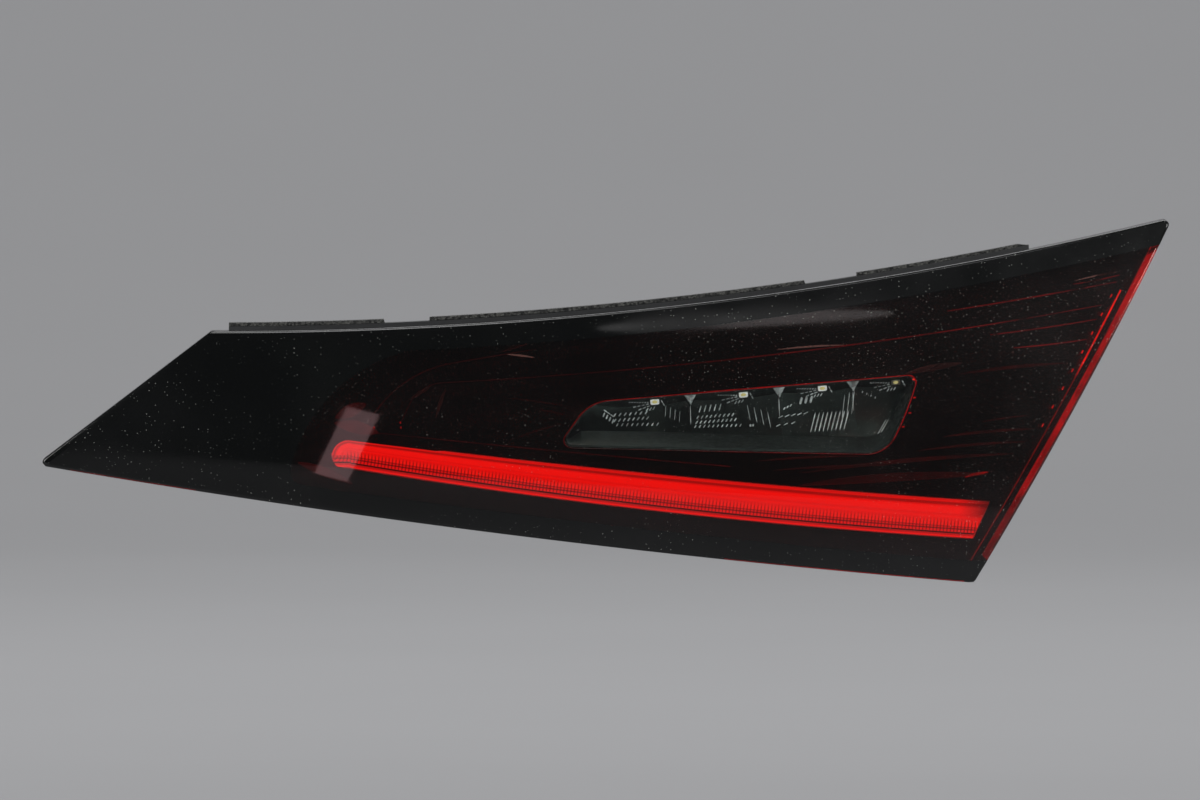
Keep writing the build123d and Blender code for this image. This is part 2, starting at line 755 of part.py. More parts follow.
def cell_section(distance, led_distance):
    """Section of a reflector cell: shelf, bowl of flat rows, then the ledge with the LED."""
    dish = min(dish_depth * ((distance - led_distance) / cell_lead) ** 2, dish_limit)
    back_y = reflector_back_y - dish
    ledge_z = -ledge_top - ledge_drop * (back_y - ledge_front_y) / ledge_depth
    shelf_z = pocket_floor(distance) + shelf_rise
    points = [(-crown_depth, pocket_floor(distance))]
    for row in range(cell_rows + 1):
        share = row / cell_rows
        points.append((back_y - bowl_depth * (1 - share) ** 2, shelf_z + share * (ledge_z - shelf_z)))
    points.append((ledge_front_y, -ledge_top))
    points.append((-crown_depth, -ledge_top))
    section_origin = reverse_origin + reverse_along * distance
    with BuildSketch(Plane(section_origin, x_dir=(0, 1, 0), z_dir=reverse_along)) as section:
        with BuildLine():
            Polyline(*points, close=True)
        make_face()
    return section.sketch


with BuildPart() as cells:
    for led_distance in led_distances:
        start = led_distance - cell_lead
        finish = led_distance + cell_tail
        if led_distance == led_distances[0]:
            start = -end_margin
        if led_distance == led_distances[-1]:
            finish = pocket_length
        for count in range(cell_columns):
            near = start + (finish - start) * count / cell_columns
            far = start + (finish - start) * (count + 1) / cell_columns
            loft([cell_section(near, led_distance), cell_section(far, led_distance)], ruled=True)
    add(column(pocket_outline(-pocket_lip), lens_wall, 0), mode=Mode.INTERSECT)

with BuildPart() as reverse_reflector:
    add(column(pocket_outline(reflector_wall), terrace_back, reflector_back_y + reflector_wall))
    with BuildSketch(board_plane):
        Rectangle(2 * lens_span, crown_depth)
    extrude(amount=crown_depth, mode=Mode.SUBTRACT)
    add(cells.part, mode=Mode.SUBTRACT)
    with BuildSketch(board_plane):
        with Locations(*[(distance, 0) for distance in led_distances]):
            Rectangle(led_length + 2 * slot_clearance, led_width + 2 * slot_clearance)
    extrude(amount=-2 * reflector_wall, mode=Mode.SUBTRACT)
reverse_reflector.part.label = "reverse_reflector"
export_step(reverse_reflector.part, "parts/reverse_reflector.step")

with BuildPart() as reverse_led_board:
    with BuildSketch(board_plane):
        with Locations((board_middle, 0)):
            Rectangle(board_length, reverse_board_width)
    extrude(amount=board_thickness)
reverse_led_board.part.label = "reverse_led_board"
export_step(reverse_led_board.part, "parts/reverse_led_board.step")

with BuildPart() as reverse_leds:
    with BuildSketch(board_plane):
        with Locations(*[(distance, 0) for distance in led_distances]):
            Rectangle(led_length, led_width)
    extrude(amount=-led_height)
reverse_leds.part.label = "reverse_leds"
export_step(reverse_leds.part, "parts/reverse_leds.step")

sink_length = board_length - 2 * sink_margin
sink_pitch = (sink_length - sink_fin_width) / (sink_fin_count - 1)
with BuildPart() as reverse_heat_sink:
    with BuildSketch(board_plane.offset(board_thickness)):
        with Locations((board_middle, 0)):
            Rectangle(sink_length, reverse_board_width)
    extrude(amount=sink_base)
    with BuildSketch(board_plane.offset(board_thickness + sink_base)):
        with Locations((board_middle, 0)):
            with GridLocations(sink_pitch, 0, sink_fin_count, 1):
                Rectangle(sink_fin_width, reverse_board_width)
    extrude(amount=sink_fin_height)
reverse_heat_sink.part.label = "reverse_heat_sink"
export_step(reverse_heat_sink.part, "parts/reverse_heat_sink.step")

# Driver board on its posts, with its chips
with BuildPart() as driver_board:
    with BuildSketch(facing(driver_back_y)):
        add(block(driver_centre, driver_size, driver_corner_radius))
    extrude(amount=board_thickness)
    add(driver_screws.part, mode=Mode.SUBTRACT)
driver_board.part.label = "driver_board"
export_step(driver_board.part, "parts/driver_board.step")

with BuildPart() as driver_chips:
    for (chip_x, chip_z), size, height in (main_chip, coil_block, power_chip):
        with BuildSketch(facing(driver_front_y)):
            add(block((driver_centre[0] + chip_x, driver_centre[1] + chip_z), size))
        extrude(amount=height)
    with BuildSketch(facing(driver_front_y)):
        with Locations(driver_centre):
            with Locations(*capacitor_places):
                Circle(capacitor_radius)
    extrude(amount=capacitor_height)
driver_chips.part.label = "driver_chips"
export_step(driver_chips.part, "parts/driver_chips.step")

# Connector: socket clamped in the back wall, contacts from the driver board, foam ring outside
with BuildPart() as contact_pins:
    with BuildSketch(facing(driver_back_y)):
        with Locations(connector_centre):
            with GridLocations(contact_pitch, 0, contact_count, 1):
                Rectangle(contact_size, contact_size)
    extrude(amount=driver_back_y - contact_end_y)
contact_pins.part.label = "contact_pins"
export_step(contact_pins.part, "parts/contact_pins.step")

with BuildPart() as connector_socket:
    with BuildSketch(facing(tub_floor_y)):
        add(block(connector_centre, grown(connector_size, connector_flange), connector_radius))
    extrude(amount=connector_wall)
    with BuildSketch(facing(tub_floor_y)):
        add(block(connector_centre, connector_size, connector_radius))
    extrude(amount=tub_floor_y - connector_end_y)
    with BuildSketch(facing(connector_end_y)):
        add(block(connector_centre, grown(connector_size, -connector_wall), connector_radius - least_radius))
    extrude(amount=connector_end_y - connector_base_y, mode=Mode.SUBTRACT)
    add(contact_pins.part, mode=Mode.SUBTRACT)
connector_socket.part.label = "connector_socket"
export_step(connector_socket.part, "parts/connector_socket.step")

with BuildPart() as connector_gasket:
    with BuildSketch(facing(tub_back_y)):
        add(block(connector_centre, grown(connector_size, gasket_clearance + gasket_width), gasket_width))
        gasket_hole = grown(connector_size, gasket_clearance)
        add(block(connector_centre, gasket_hole, connector_radius), mode=Mode.SUBTRACT)
    extrude(amount=tub_back_y)
connector_gasket.part.label = "connector_gasket"
export_step(connector_gasket.part, "parts/connector_gasket.step")

# Foam washers round the stud bosses
with BuildPart() as stud_seals:
    with BuildSketch(facing(tub_back_y)):
        with Locations(*stud_points):
            Circle(boss_radius + foam_clearance + foam_width)
        with Locations(*stud_points):
            Circle(boss_radius + foam_clearance, mode=Mode.SUBTRACT)
    extrude(amount=tub_back_y)
stud_seals.part.label = "stud_seals"
export_step(stud_seals.part, "parts/stud_seals.step")

# Breather: a membrane over the hole in the back wall, under a slotted cap
with BuildPart() as breather_membrane:
    with BuildSketch(facing(tub_back_y)):
        add(disc(breather_point, membrane_radius))
    extrude(amount=-membrane_thickness)
breather_membrane.part.label = "breather_membrane"
export_step(breather_membrane.part, "parts/breather_membrane.step")

with BuildPart() as breather_cap:
    with BuildSketch(facing(tub_back_y)):
        add(disc(breather_point, breather_radius))
    extrude(amount=-breather_height)
    with BuildSketch(facing(tub_back_y)):
        add(disc(breather_point, breather_radius - breather_wall))
    extrude(amount=-(breather_height - breather_wall), mode=Mode.SUBTRACT)
    with BuildSketch(facing(tub_back_y)):
        add(block(breather_point, (breather_slot_width, 3 * breather_radius)))
        add(block(breather_point, (3 * breather_radius, breather_slot_width)))
    extrude(amount=-breather_slot_height, mode=Mode.SUBTRACT)
    chamfer(breather_cap.faces().sort_by(Axis.Y)[-1:].edges(), breather_wall / 2)
breather_cap.part.label = "breather_cap"
export_step(breather_cap.part, "parts/breather_cap.step")

# Push-in clip on the end of the wing's tower
clip_profile_plane = Plane((clip_point[0], 0, clip_point[1]), x_dir=(1, 0, 0), z_dir=(0, 0, 1))
with BuildPart() as wing_clip:
    with BuildSketch(facing(-clip_plate_thickness)):
        add(block(clip_point, clip_plate, clip_tip_radius))
    extrude(amount=-clip_plate_thickness)
    with BuildSketch(clip_profile_plane):
        with BuildLine():
            Polyline(
                (0, 0),
                (clip_stem_radius, 0),
                (clip_stem_radius, clip_stem_length),
                (clip_head_radius, clip_stem_length),
                (clip_tip_radius, clip_stem_length + clip_head_length),
                (0, clip_stem_length + clip_head_length),
                close=True,
            )
        make_face()
    revolve(axis=Axis((clip_point[0], 0, clip_point[1]), (0, 1, 0)))
wing_clip.part.label = "wing_clip"
export_step(wing_clip.part, "parts/wing_clip.step")

# Leads from the driver board to the two LED boards
lead_run_y = driver_front_y - lead_rise
with BuildPart() as tail_board_lead:
    with BuildLine():
        FilletPolyline(
            (tail_lead_start[0], driver_front_y, tail_lead_start[1]),
            (tail_lead_start[0], lead_run_y, tail_lead_start[1]),
            (tail_lead_end[0], lead_run_y, tail_lead_end[1]),
            (tail_lead_end[0], carrier_floor_y, tail_lead_end[1]),
            radius=lead_bend,
        )
    with BuildSketch(facing(driver_front_y)):
        add(disc(tail_lead_start, lead_radius))
    sweep()
tail_board_lead.part.label = "tail_board_lead"
export_step(tail_board_lead.part, "parts/tail_board_lead.step")

lead_plane = board_plane.offset(board_thickness)
reverse_lead_end = lead_plane.from_local_coords((reverse_board_span[0] + lead_tab, 0, 0))
reverse_lead_turn = reverse_lead_end + ledge_normal * (sink_base + sink_fin_height)
with BuildPart() as reverse_board_lead:
    with BuildLine():
        FilletPolyline(
            (reverse_lead_start[0], driver_front_y, reverse_lead_start[1]),
            (reverse_lead_start[0], lead_run_y, reverse_lead_start[1]),
            (reverse_lead_turn.X, lead_run_y, reverse_lead_turn.Z),
            reverse_lead_turn,
            reverse_lead_end,
            radius=lead_bend,
        )
    with BuildSketch(facing(driver_front_y)):
        add(disc(reverse_lead_start, lead_radius))
    sweep()
reverse_board_lead.part.label = "reverse_board_lead"
export_step(reverse_board_lead.part, "parts/reverse_board_lead.step")
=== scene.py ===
from math import cos, hypot, pi, radians, sin
import bmesh
import bpy
import numpy as np
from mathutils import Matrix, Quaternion, Vector


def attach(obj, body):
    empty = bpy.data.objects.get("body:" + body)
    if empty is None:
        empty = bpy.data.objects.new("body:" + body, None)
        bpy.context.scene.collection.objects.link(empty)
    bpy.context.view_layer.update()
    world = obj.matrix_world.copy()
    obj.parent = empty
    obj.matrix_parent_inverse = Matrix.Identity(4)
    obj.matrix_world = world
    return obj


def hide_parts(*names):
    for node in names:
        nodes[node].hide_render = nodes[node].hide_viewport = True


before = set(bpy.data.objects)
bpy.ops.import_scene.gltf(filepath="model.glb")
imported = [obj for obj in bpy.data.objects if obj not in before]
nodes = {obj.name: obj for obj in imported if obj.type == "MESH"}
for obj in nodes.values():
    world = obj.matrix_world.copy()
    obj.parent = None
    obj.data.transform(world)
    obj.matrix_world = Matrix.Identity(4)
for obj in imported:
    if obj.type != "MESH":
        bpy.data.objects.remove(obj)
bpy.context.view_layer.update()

# Rear housing: the tub, flange and clip tower that every other piece is mounted in. Injection moulded in
# black talc-filled polypropylene; three studs and the wing's clip hold it to the tailgate.


def linear(code):
    """An sRGB hex colour as linear red, green and blue with full alpha."""
    channels = np.array([int(code[i : i + 2], 16) for i in (1, 3, 5)]) / 255
    curve = np.where(channels <= 0.04045, channels / 12.92, ((channels + 0.055) / 1.055) ** 2.4)
    return (*curve.tolist(), 1.0)


def node(tree, kind, inputs=(), **settings):
    """Adds a shader node with its settings. Inputs come by socket, or as a row in the order of the sockets.
    Each is a plain value, the output of another node, or a node that stands for its first output."""
    made = tree.nodes.new("ShaderNode" + kind)
    for name, value in settings.items():
        setattr(made, name, value)
    for socket, value in (inputs if isinstance(inputs, dict) else dict(enumerate(inputs))).items():
        value = value.outputs[0] if isinstance(value, bpy.types.Node) else value
        if isinstance(value, bpy.types.NodeSocket):
            tree.links.new(value, made.inputs[socket])
        else:
            made.inputs[socket].default_value = value
    return made


def new_finish(name):
    """An empty material and its node tree."""
    finish = bpy.data.materials.new(name)
    finish.use_nodes = True
    finish.node_tree.nodes.clear()
    return finish, finish.node_tree


def coated(finish, sockets):
    """The material with a principled shader of these sockets on its surface."""
    shader = node(finish.node_tree, "BsdfPrincipled", sockets)
    node(finish.node_tree, "OutputMaterial", [shader])
    return finish


def moulded(name, colour, paler, roughness, grain, depth, ior=1.5, glow=()):
    """Moulded plastic. Fine noise as wide as the tool's grain is bump; noise forty times as wide carries
    the colour towards a paler one and the roughness an eighth of itself up and down. Sizes are in mm."""
    finish, tree = new_finish(name)
    place = node(tree, "TexCoord").outputs["Object"]
    fine = node(tree, "TexNoise", {"Vector": place, "Scale": 1000 / grain, "Detail": 3.0})
    broad = node(tree, "TexNoise", {"Vector": place, "Scale": 25 / grain, "Detail": 4.0})
    tone = node(tree, "Mix", {0: broad, 6: linear(colour), 7: linear(paler)}, data_type="RGBA")
    dull = node(tree, "MapRange", (broad, 0.3, 0.7, roughness * 0.88, roughness * 1.12))
    relief = node(tree, "Bump", {"Height": fine, "Distance": depth / 1000})
    sockets = {"Base Color": tone.outputs[2], "Roughness": dull, "Normal": relief, "IOR": ior}
    return coated(finish, sockets | dict(glow))


def dress(finish, slot, *names):
    """Gives CAD nodes their finish; the slot is not used."""
    for name in names:
        nodes[name].data.materials.clear()
        nodes[name].data.materials.append(finish)


# Spark-eroded polypropylene: dull charcoal black, with a grain that breaks up every highlight.
housing_plastic = moulded("spark_eroded_polypropylene", "#141516", "#1f2022", 0.48, 0.6, 0.05)
dress(housing_plastic, "housing_plastic", "rear_housing")


# Mounting studs: three M6 studs with a rolled thread, moulded into the bosses of the housing by their thick
# roots. Cold-headed steel with a clear zinc plating.
stud_points = ((0.0, 0.0), (118.0, 22.0), (-95.0, -8.0))
stud_radius = 3.0
stud_length = 20.0
stud_cone = 0.8
root_radius = 4.5
root_length = 6.0
thread_pitch = 1.0
thread_depth = 0.55
thread_start = 0.4
thread_runout = 1.5
thread_power = 1.3
stud_sides = 28
stud_rows = 241


def gridded(points, close_rows=False, close_columns=True):
    """A grid of points as a list, and its four-cornered faces. A closed way joins its last line to its
    first."""
    rows, columns = points.shape[:2]
    column = np.arange(columns if close_columns else columns - 1)[None, :]
    right = (column + 1) % columns
    row = np.arange(rows if close_rows else rows - 1)[:, None] * columns
    below = (row + columns) % (rows * columns)
    corners = (row + column, row + right, below + right, below + column)
    return points.reshape(-1, 3), np.stack(np.broadcast_arrays(*corners), axis=-1).reshape(-1, 4)


def joined(sheets):
    """Several sets of points and faces as one."""
    starts = np.cumsum([0] + [len(points) for points, faces in sheets])
    points = np.concatenate([points for points, faces in sheets])
    return points, np.concatenate([sheet[1] + start for sheet, start in zip(sheets, starts)])


def make_piece(name, sheet, finishes, replaced=(), which=None, crease=32, uv=None):
    """A mesh object from points in mm and four-cornered faces. Doubled points are merged, the shell is
    turned the right way out by the sign of its volume, and edges sharper than the crease angle stay
    sharp."""
    points, faces = sheet
    mesh = bpy.data.meshes.new(name)
    mesh.vertices.add(len(points))
    mesh.vertices.foreach_set("co", (points * 0.001).astype(np.float32).ravel())
    p, q, r, s = (points[faces[:, corner]] for corner in range(4))
    volume = np.einsum("ij,ij->", p, np.cross(q, r)) + np.einsum("ij,ij->", p, np.cross(r, s))
    turned = faces[:, ::-1] if volume < 0 else faces
    mesh.loops.add(faces.size)
    mesh.loops.foreach_set("vertex_index", turned.astype(np.int32).ravel())
    mesh.polygons.add(len(faces))
    mesh.polygons.foreach_set("loop_start", np.arange(0, faces.size, 4, dtype=np.int32))
    if which is not None:
        mesh.polygons.foreach_set("material_index", which.astype(np.int32).ravel())
    if uv is not None:
        layer = mesh.uv_layers.new(name="surface")
        layer.data.foreach_set("uv", uv.astype(np.float32)[turned.ravel()].ravel())
    mesh.update(calc_edges=True)
    for finish in finishes:
        mesh.materials.append(finish)
    whole = bmesh.new()
    whole.from_mesh(mesh)
    bmesh.ops.remove_doubles(whole, verts=whole.verts, dist=1e-7)
    bmesh.ops.dissolve_degenerate(whole, edges=whole.edges, dist=1e-7)
    whole.to_mesh(mesh)
    whole.free()
    mesh.polygons.foreach_set("use_smooth", np.ones(len(mesh.polygons), dtype=bool))
    mesh.set_sharp_from_angle(angle=radians(crease))
    piece = bpy.data.objects.new(name, mesh)
    bpy.context.scene.collection.objects.link(piece)
    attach(piece, "root")
    if replaced:
        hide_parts(*replaced)


def threaded_stud(point):
    """A turned profile whose radius, along the threaded length, drops by a rounded V that moves on by one
    pitch in each turn; it fades out at the root and the end is coned."""
    angle = np.linspace(0, 2 * pi, stud_sides, endpoint=False)
    height = np.linspace(0, stud_length, stud_rows)[:, None]
    phase = (height / thread_pitch - angle / (2 * pi)) % 1
    groove = thread_depth * np.abs(2 * phase - 1) ** thread_power
    fade = np.clip((height - thread_start) / thread_runout, 0, 1)
    cone = stud_radius - np.clip(height - (stud_length - stud_cone), 0, None)
    radius = np.minimum(stud_radius - groove * fade, cone)
    root = np.array([(0, -root_length), (root_radius, -root_length), (root_radius, 0), (stud_radius, 0)])
    radius = np.concatenate([np.repeat(root[:, :1], stud_sides, 1), radius, np.zeros((1, stud_sides))])
    height = np.concatenate([root[:, 1:], height, height[-1:]])
    x, z = point[0] + radius * np.cos(angle), point[1] + radius * np.sin(angle)
    return gridded(np.stack(np.broadcast_arrays(x, height, z), -1))


def metal(name, colour, darker, roughness, mark, stretch=(1, 1, 1), more=()):
    """Metal. Noise, with the given mark width in mm and stretched along one way for drawn or brushed stock,
    moves both its colour and its roughness."""
    finish, tree = new_finish(name)
    place = node(tree, "TexCoord").outputs["Object"]
    drawn = node(tree, "Mapping", {"Vector": place, "Scale": stretch})
    marks = node(tree, "TexNoise", {"Vector": drawn, "Scale": 1000 / mark, "Detail": 4.0})
    tone = node(tree, "Mix", {0: marks, 6: linear(darker), 7: linear(colour)}, data_type="RGBA")
    dull = node(tree, "MapRange", (marks, 0.3, 0.7, roughness * 0.75, roughness * 1.3))
    return coated(finish, {"Base Color": tone.outputs[2], "Roughness": dull, "Metallic": 1.0} | dict(more))


# Zinc-plated steel: pale bluish grey with a soft shine, a little cloudy from the plating bath.
stud_steel = metal("zinc_plated_steel", "#c3c7cc", "#8f959c", 0.3, 1.5)
studs = joined([threaded_stud(point) for point in stud_points])
make_piece("stud_threads", studs, [stud_steel], ["mounting_studs"])


# Foam washers round the stud bosses and the foam ring round the connector: punched from closed-cell
# polyethylene sheet and stuck to the back wall, where the tailgate squeezes them.
def foamed(name, colour, paler, cell, depth):
    """Closed-cell foam: cut cells as bump, each cell as wide as given in mm, with a tone of its own."""
    finish, tree = new_finish(name)
    place = node(tree, "TexCoord").outputs["Object"]
    cells = node(tree, "TexVoronoi", {"Vector": place, "Scale": 1000 / cell})
    speck = node(tree, "MapRange", (cells.outputs["Color"], 0.3, 0.8))
    tone = node(tree, "Mix", {0: speck, 6: linear(colour), 7: linear(paler)}, data_type="RGBA")
    relief = node(tree, "Bump", {"Height": cells, "Distance": depth / 1000})
    sockets = {"Base Color": tone.outputs[2], "Roughness": 0.95, "Normal": relief, "Sheen Weight": 0.15}
    return coated(finish, sockets)


# Closed-cell polyethylene foam: soft dark grey, quite dull, with open cells under a millimetre wide.
washer_foam = foamed("polyethylene_foam", "#232426", "#37383a", 0.7, 0.25)
dress(washer_foam, "foam", "stud_seals", "connector_gasket")


# Breather: a slotted cap over a water-tight membrane, welded on the hole in the back wall so that the lamp
# can dry out. Moulded polypropylene over expanded fluoropolymer film.
cap_plastic = moulded("moulded_polypropylene_cap", "#1b1c1e", "#2a2b2d", 0.42, 0.8, 0.03)
breather_film = moulded("expanded_polymer_film", "#dfe0de", "#f0f0ee", 0.7, 0.3, 0.02)
dress(cap_plastic, "housing_plastic", "breather_cap")
dress(breather_film, "membrane", "breather_membrane")


# Connector: a socket clamped in the back wall with six straight contacts that come from the driver board.
# Moulded glass-filled polyester; the contacts are tinned brass wire.
connector_plastic = moulded("glass_filled_polyester", "#2a2d31", "#3b3f44", 0.4, 0.5, 0.03)
contact_brass = metal("tinned_brass", "#d8c48c", "#a98f52", 0.28, 0.8, (1, 0.1, 1))
dress(connector_plastic, "connector_plastic", "connector_socket")
dress(contact_brass, "contact_brass", "contact_pins")


# Wing clip: a push-in clip on the end of the tower behind the wing. Moulded natural nylon.
clip_nylon = moulded("natural_nylon", "#cfcabb", "#e2dfd3", 0.38, 0.9, 0.02, 1.53)
dress(clip_nylon, "clip_nylon", "wing_clip")


# Driver board with its chips and screws, and the two short leads to the lamp boards. Glass-epoxy board with
# green solder mask, black moulded chips, zinc-plated screws, silicone-sleeved leads.
def board_finish(name, mask, copper):
    """Solder mask over copper: a brick pattern of tracks, 1.2 mm apart, shows through in another tone."""
    finish, tree = new_finish(name)
    place = node(tree, "TexCoord").outputs["Object"]
    flat = node(tree, "Mapping", {"Vector": place, "Rotation": (radians(90), 0, 0)})
    sockets = {"Vector": flat, "Color1": linear(mask), "Color2": linear(mask), "Mortar": linear(copper)}
    sockets |= {"Scale": 1000.0 / 4, "Mortar Size": 0.06, "Brick Width": 2.2, "Row Height": 0.3}
    tracks = node(tree, "TexBrick", sockets)
    relief = node(tree, "Bump", {"Height": tracks.outputs["Fac"], "Distance": 0.00004})
    return coated(finish, {"Base Color": tracks, "Roughness": 0.32, "Normal": relief})


# Solder mask: glossy green lacquer, paler over the tracks; the lamp boards wear a white one.
green_board = board_finish("green_solder_mask", "#14512f", "#2c7a4a")
white_board = board_finish("white_solder_mask", "#d7d9d6", "#b9bdb8")
chip_black = moulded("moulded_epoxy", "#16171a", "#24262a", 0.5, 0.3, 0.01)
screw_steel = metal("zinc_plated_screw_steel", "#b9bdc2", "#858b92", 0.34, 1.0)
lead_sleeve = moulded("silicone_sleeve", "#5a1210", "#74201c", 0.45, 0.6, 0.02)
dress(green_board, "circuit_board", "driver_board")
dress(chip_black, "chip_black", "driver_chips")
dress(screw_steel, "screw_steel", "driver_screws", "bezel_screws")
dress(lead_sleeve, "lead_sleeve", "tail_board_lead", "reverse_board_lead")


# Tail lamp inside: a white trough behind the bezel that holds the light bar, with its board and fourteen
# LEDs on the floor. Moulded white polycarbonate, white board, ceramic LED packages.
carrier_white = moulded("white_polycarbonate", "#d9dad8", "#e9eae8", 0.35, 0.9, 0.01, 1.58)
# The phosphor carries a painted glow that stands in for the light it catches.
phosphor_painted_glow = {"Emission Color": linear("#efe3a0"), "Emission Strength": 0.45}
phosphor = moulded("yellow_phosphor", "#d8b83a", "#e9d27a", 0.45, 0.3, 0.01, glow=phosphor_painted_glow)
dress(carrier_white, "carrier_white", "bar_carrier")
dress(white_board, "circuit_board", "tail_led_board")
dress(phosphor, "led", "tail_leds")


# Tail light bar: a diffusing bar with a plain upper band, a band of small prisms, a groove and a lip along
# its foot. Moulded in red acrylic; it lies in the trough and stands a few millimetres proud of the bezel.
crown_x, crown_z = -30.0, -34.0
crown_tilt = radians(7.5)
crown_depth = 75.0
plan_radius = 1100.0
rise_radius = 520.0
bar_top = ((-114.5, -15.75), (135.95, -40.55), -1.75)
bar_foot = ((-114.5, -26.25), (129.35, -54.35), -2.9)
bar_back_depth = 15.0
bar_section = 12.9
bar_rows = 61
bar_columns = 1152
band_places = (0, 0.03, 0.06, 0.14, 0.16, 0.34, 0.4, 0.6, 0.835, 0.85, 0.878, 0.89, 0.92, 0.97, 1)
band_depths = (7.2, 6.4, 6.2, 6.35, 6.0, 6.3, 7.5, 7.7, 7.9, 9.6, 9.6, 7.3, 7.0, 7.05, 7.9)
prism_pitch = (1.35, 1.1)
prism_height = 0.3
prism_zone = 5.2
prism_bands = (0.5, 0.82)
flute_band = 0.34
flute_height = 0.05
flute_count = 18
end_lengths = (7.2, 3.0)
end_columns = 30
end_band = 0.65
waist_share = 0.43


def face_y(x, z, depth):
    """Y of the layer that lies depth mm behind the face of the lens. The face is a barrel: an arc of the
    rise radius across, turned on the plan radius along a crown line that runs down outboard by the tilt."""
    sideways = (x - crown_x) * cos(crown_tilt) - (z - crown_z) * sin(crown_tilt)
    upwards = (x - crown_x) * sin(crown_tilt) + (z - crown_z) * cos(crown_tilt)
    reach = plan_radius - rise_radius + np.sqrt((rise_radius - depth) ** 2 - upwards**2)
    return plan_radius - crown_depth - np.sqrt(reach**2 - sideways**2)


def behind_face(flat, depth):
    """Front-view points in space, each at its depth behind the face of the lens."""
    x, z = flat[..., 0], flat[..., 1]
    return np.stack([x, face_y(x, z, depth), z], -1)


def bowed(start, end, sag, count):
    """Points of a shallow arc: even steps of the straight run, pushed to its left by a circle's height that
    is the sag at the middle."""
    share = np.linspace(0, 1, count)[:, None]
    run = np.subtract(end, start)
    length = hypot(*run)
    left = np.array([-run[1], run[0]]) / length
    radius = (length**2 / 4 + sag**2) / (2 * abs(sag))
    height = np.sqrt(radius**2 - ((share - 0.5) * length) ** 2) - radius + abs(sag)
    return start + share * run + np.sign(sag) * height * left


def bar_edge(edge, end_length, end_x, waist):
    """One long edge of the bar. It runs on past its start to the tip of the bar, in steps that widen from
    there, and closes in on the waist there along a quarter of an ellipse."""
    lead = 1 - np.cos(np.linspace(0, pi / 2, end_columns, endpoint=False))
    lead = np.stack([end_x + (edge[0][0] - end_x) * lead, np.full(end_columns, edge[0][1])], -1)
    line = np.concatenate([lead, bowed(*edge, bar_columns)])
    swell = np.sqrt(1 - np.clip(1 - (line[:, 0] - end_x) / end_length, 0, 1) ** 2)
    line[:, 1] = waist + (line[:, 1] - waist) * swell
    return line


def bar_sheet():
    """Columns across the bar, from its egg-shaped inner end to its square outer end. A column's points go
    from the top edge to the foot. The band of a point is its share of the section: below the prisms it
    counts up from the foot, above them it is stretched to the top edge, and round the end it follows the
    edge down to a notch. Depth follows the band, with prisms as a product of two saw waves."""
    rows = np.linspace(0, 1, bar_rows)
    (start_x, start_top), start_foot = bar_top[0], bar_foot[0][1]
    end_x = start_x - (start_top - start_foot) / 2
    waist = start_foot + waist_share * (start_top - start_foot)
    upper, lower = (bar_edge(*edge, end_x, waist) for edge in zip((bar_top, bar_foot), end_lengths))
    spot = upper[:, None] + (lower - upper)[:, None] * rows[None, :, None]
    x, z = spot[..., 0], spot[..., 1]
    height = np.hypot(*(lower - upper).T)[:, None]
    from_foot = (1 - rows) * height
    stretch = (1 - prism_zone / bar_section) * rows * height / np.maximum(height - prism_zone, 0.1)
    band = np.where(from_foot < prism_zone, 1 - from_foot / bar_section, stretch)
    at_end = x < end_x + end_lengths[0]
    out = np.hypot((end_x + end_lengths[0] - x) / end_lengths[0], (z - waist) / (start_top - waist))
    band = np.where(at_end & (z > waist), np.clip(end_band * (1 - out), 0, 1), band)
    band = np.where(at_end & (z <= waist), np.clip(1 - (z - start_foot) / bar_section, 0, 1), band)
    depth = np.interp(band, band_places, band_depths)
    distance = np.hypot(x - end_x, z - waist)
    saw_along = np.abs(distance / prism_pitch[0] % 1 - 0.5) * 2
    saw_across = np.abs(from_foot / prism_pitch[1] % 1 - 0.5) * 2
    prisms = (band > prism_bands[0]) & (band < prism_bands[1]) & (x > end_x + end_lengths[0])
    depth += np.where(prisms, prism_height * (saw_along * saw_across), 0)
    depth += np.where(band < flute_band, flute_height * np.cos(band * 2 * pi * flute_count), 0)
    back = behind_face(spot, bar_back_depth)[:, :: 1 - bar_rows]
    section = np.concatenate([behind_face(spot, depth), back], 1)
    cap = section[-1:].mean(1, keepdims=True).repeat(section.shape[1], 1)
    mark = np.stack([distance / 100, band], -1)
    mark = np.concatenate([mark, mark[:, :: 1 - bar_rows]], 1)
    return gridded(np.concatenate([section, cap])), np.concatenate([mark, mark[-1:]]).reshape(-1, 2)


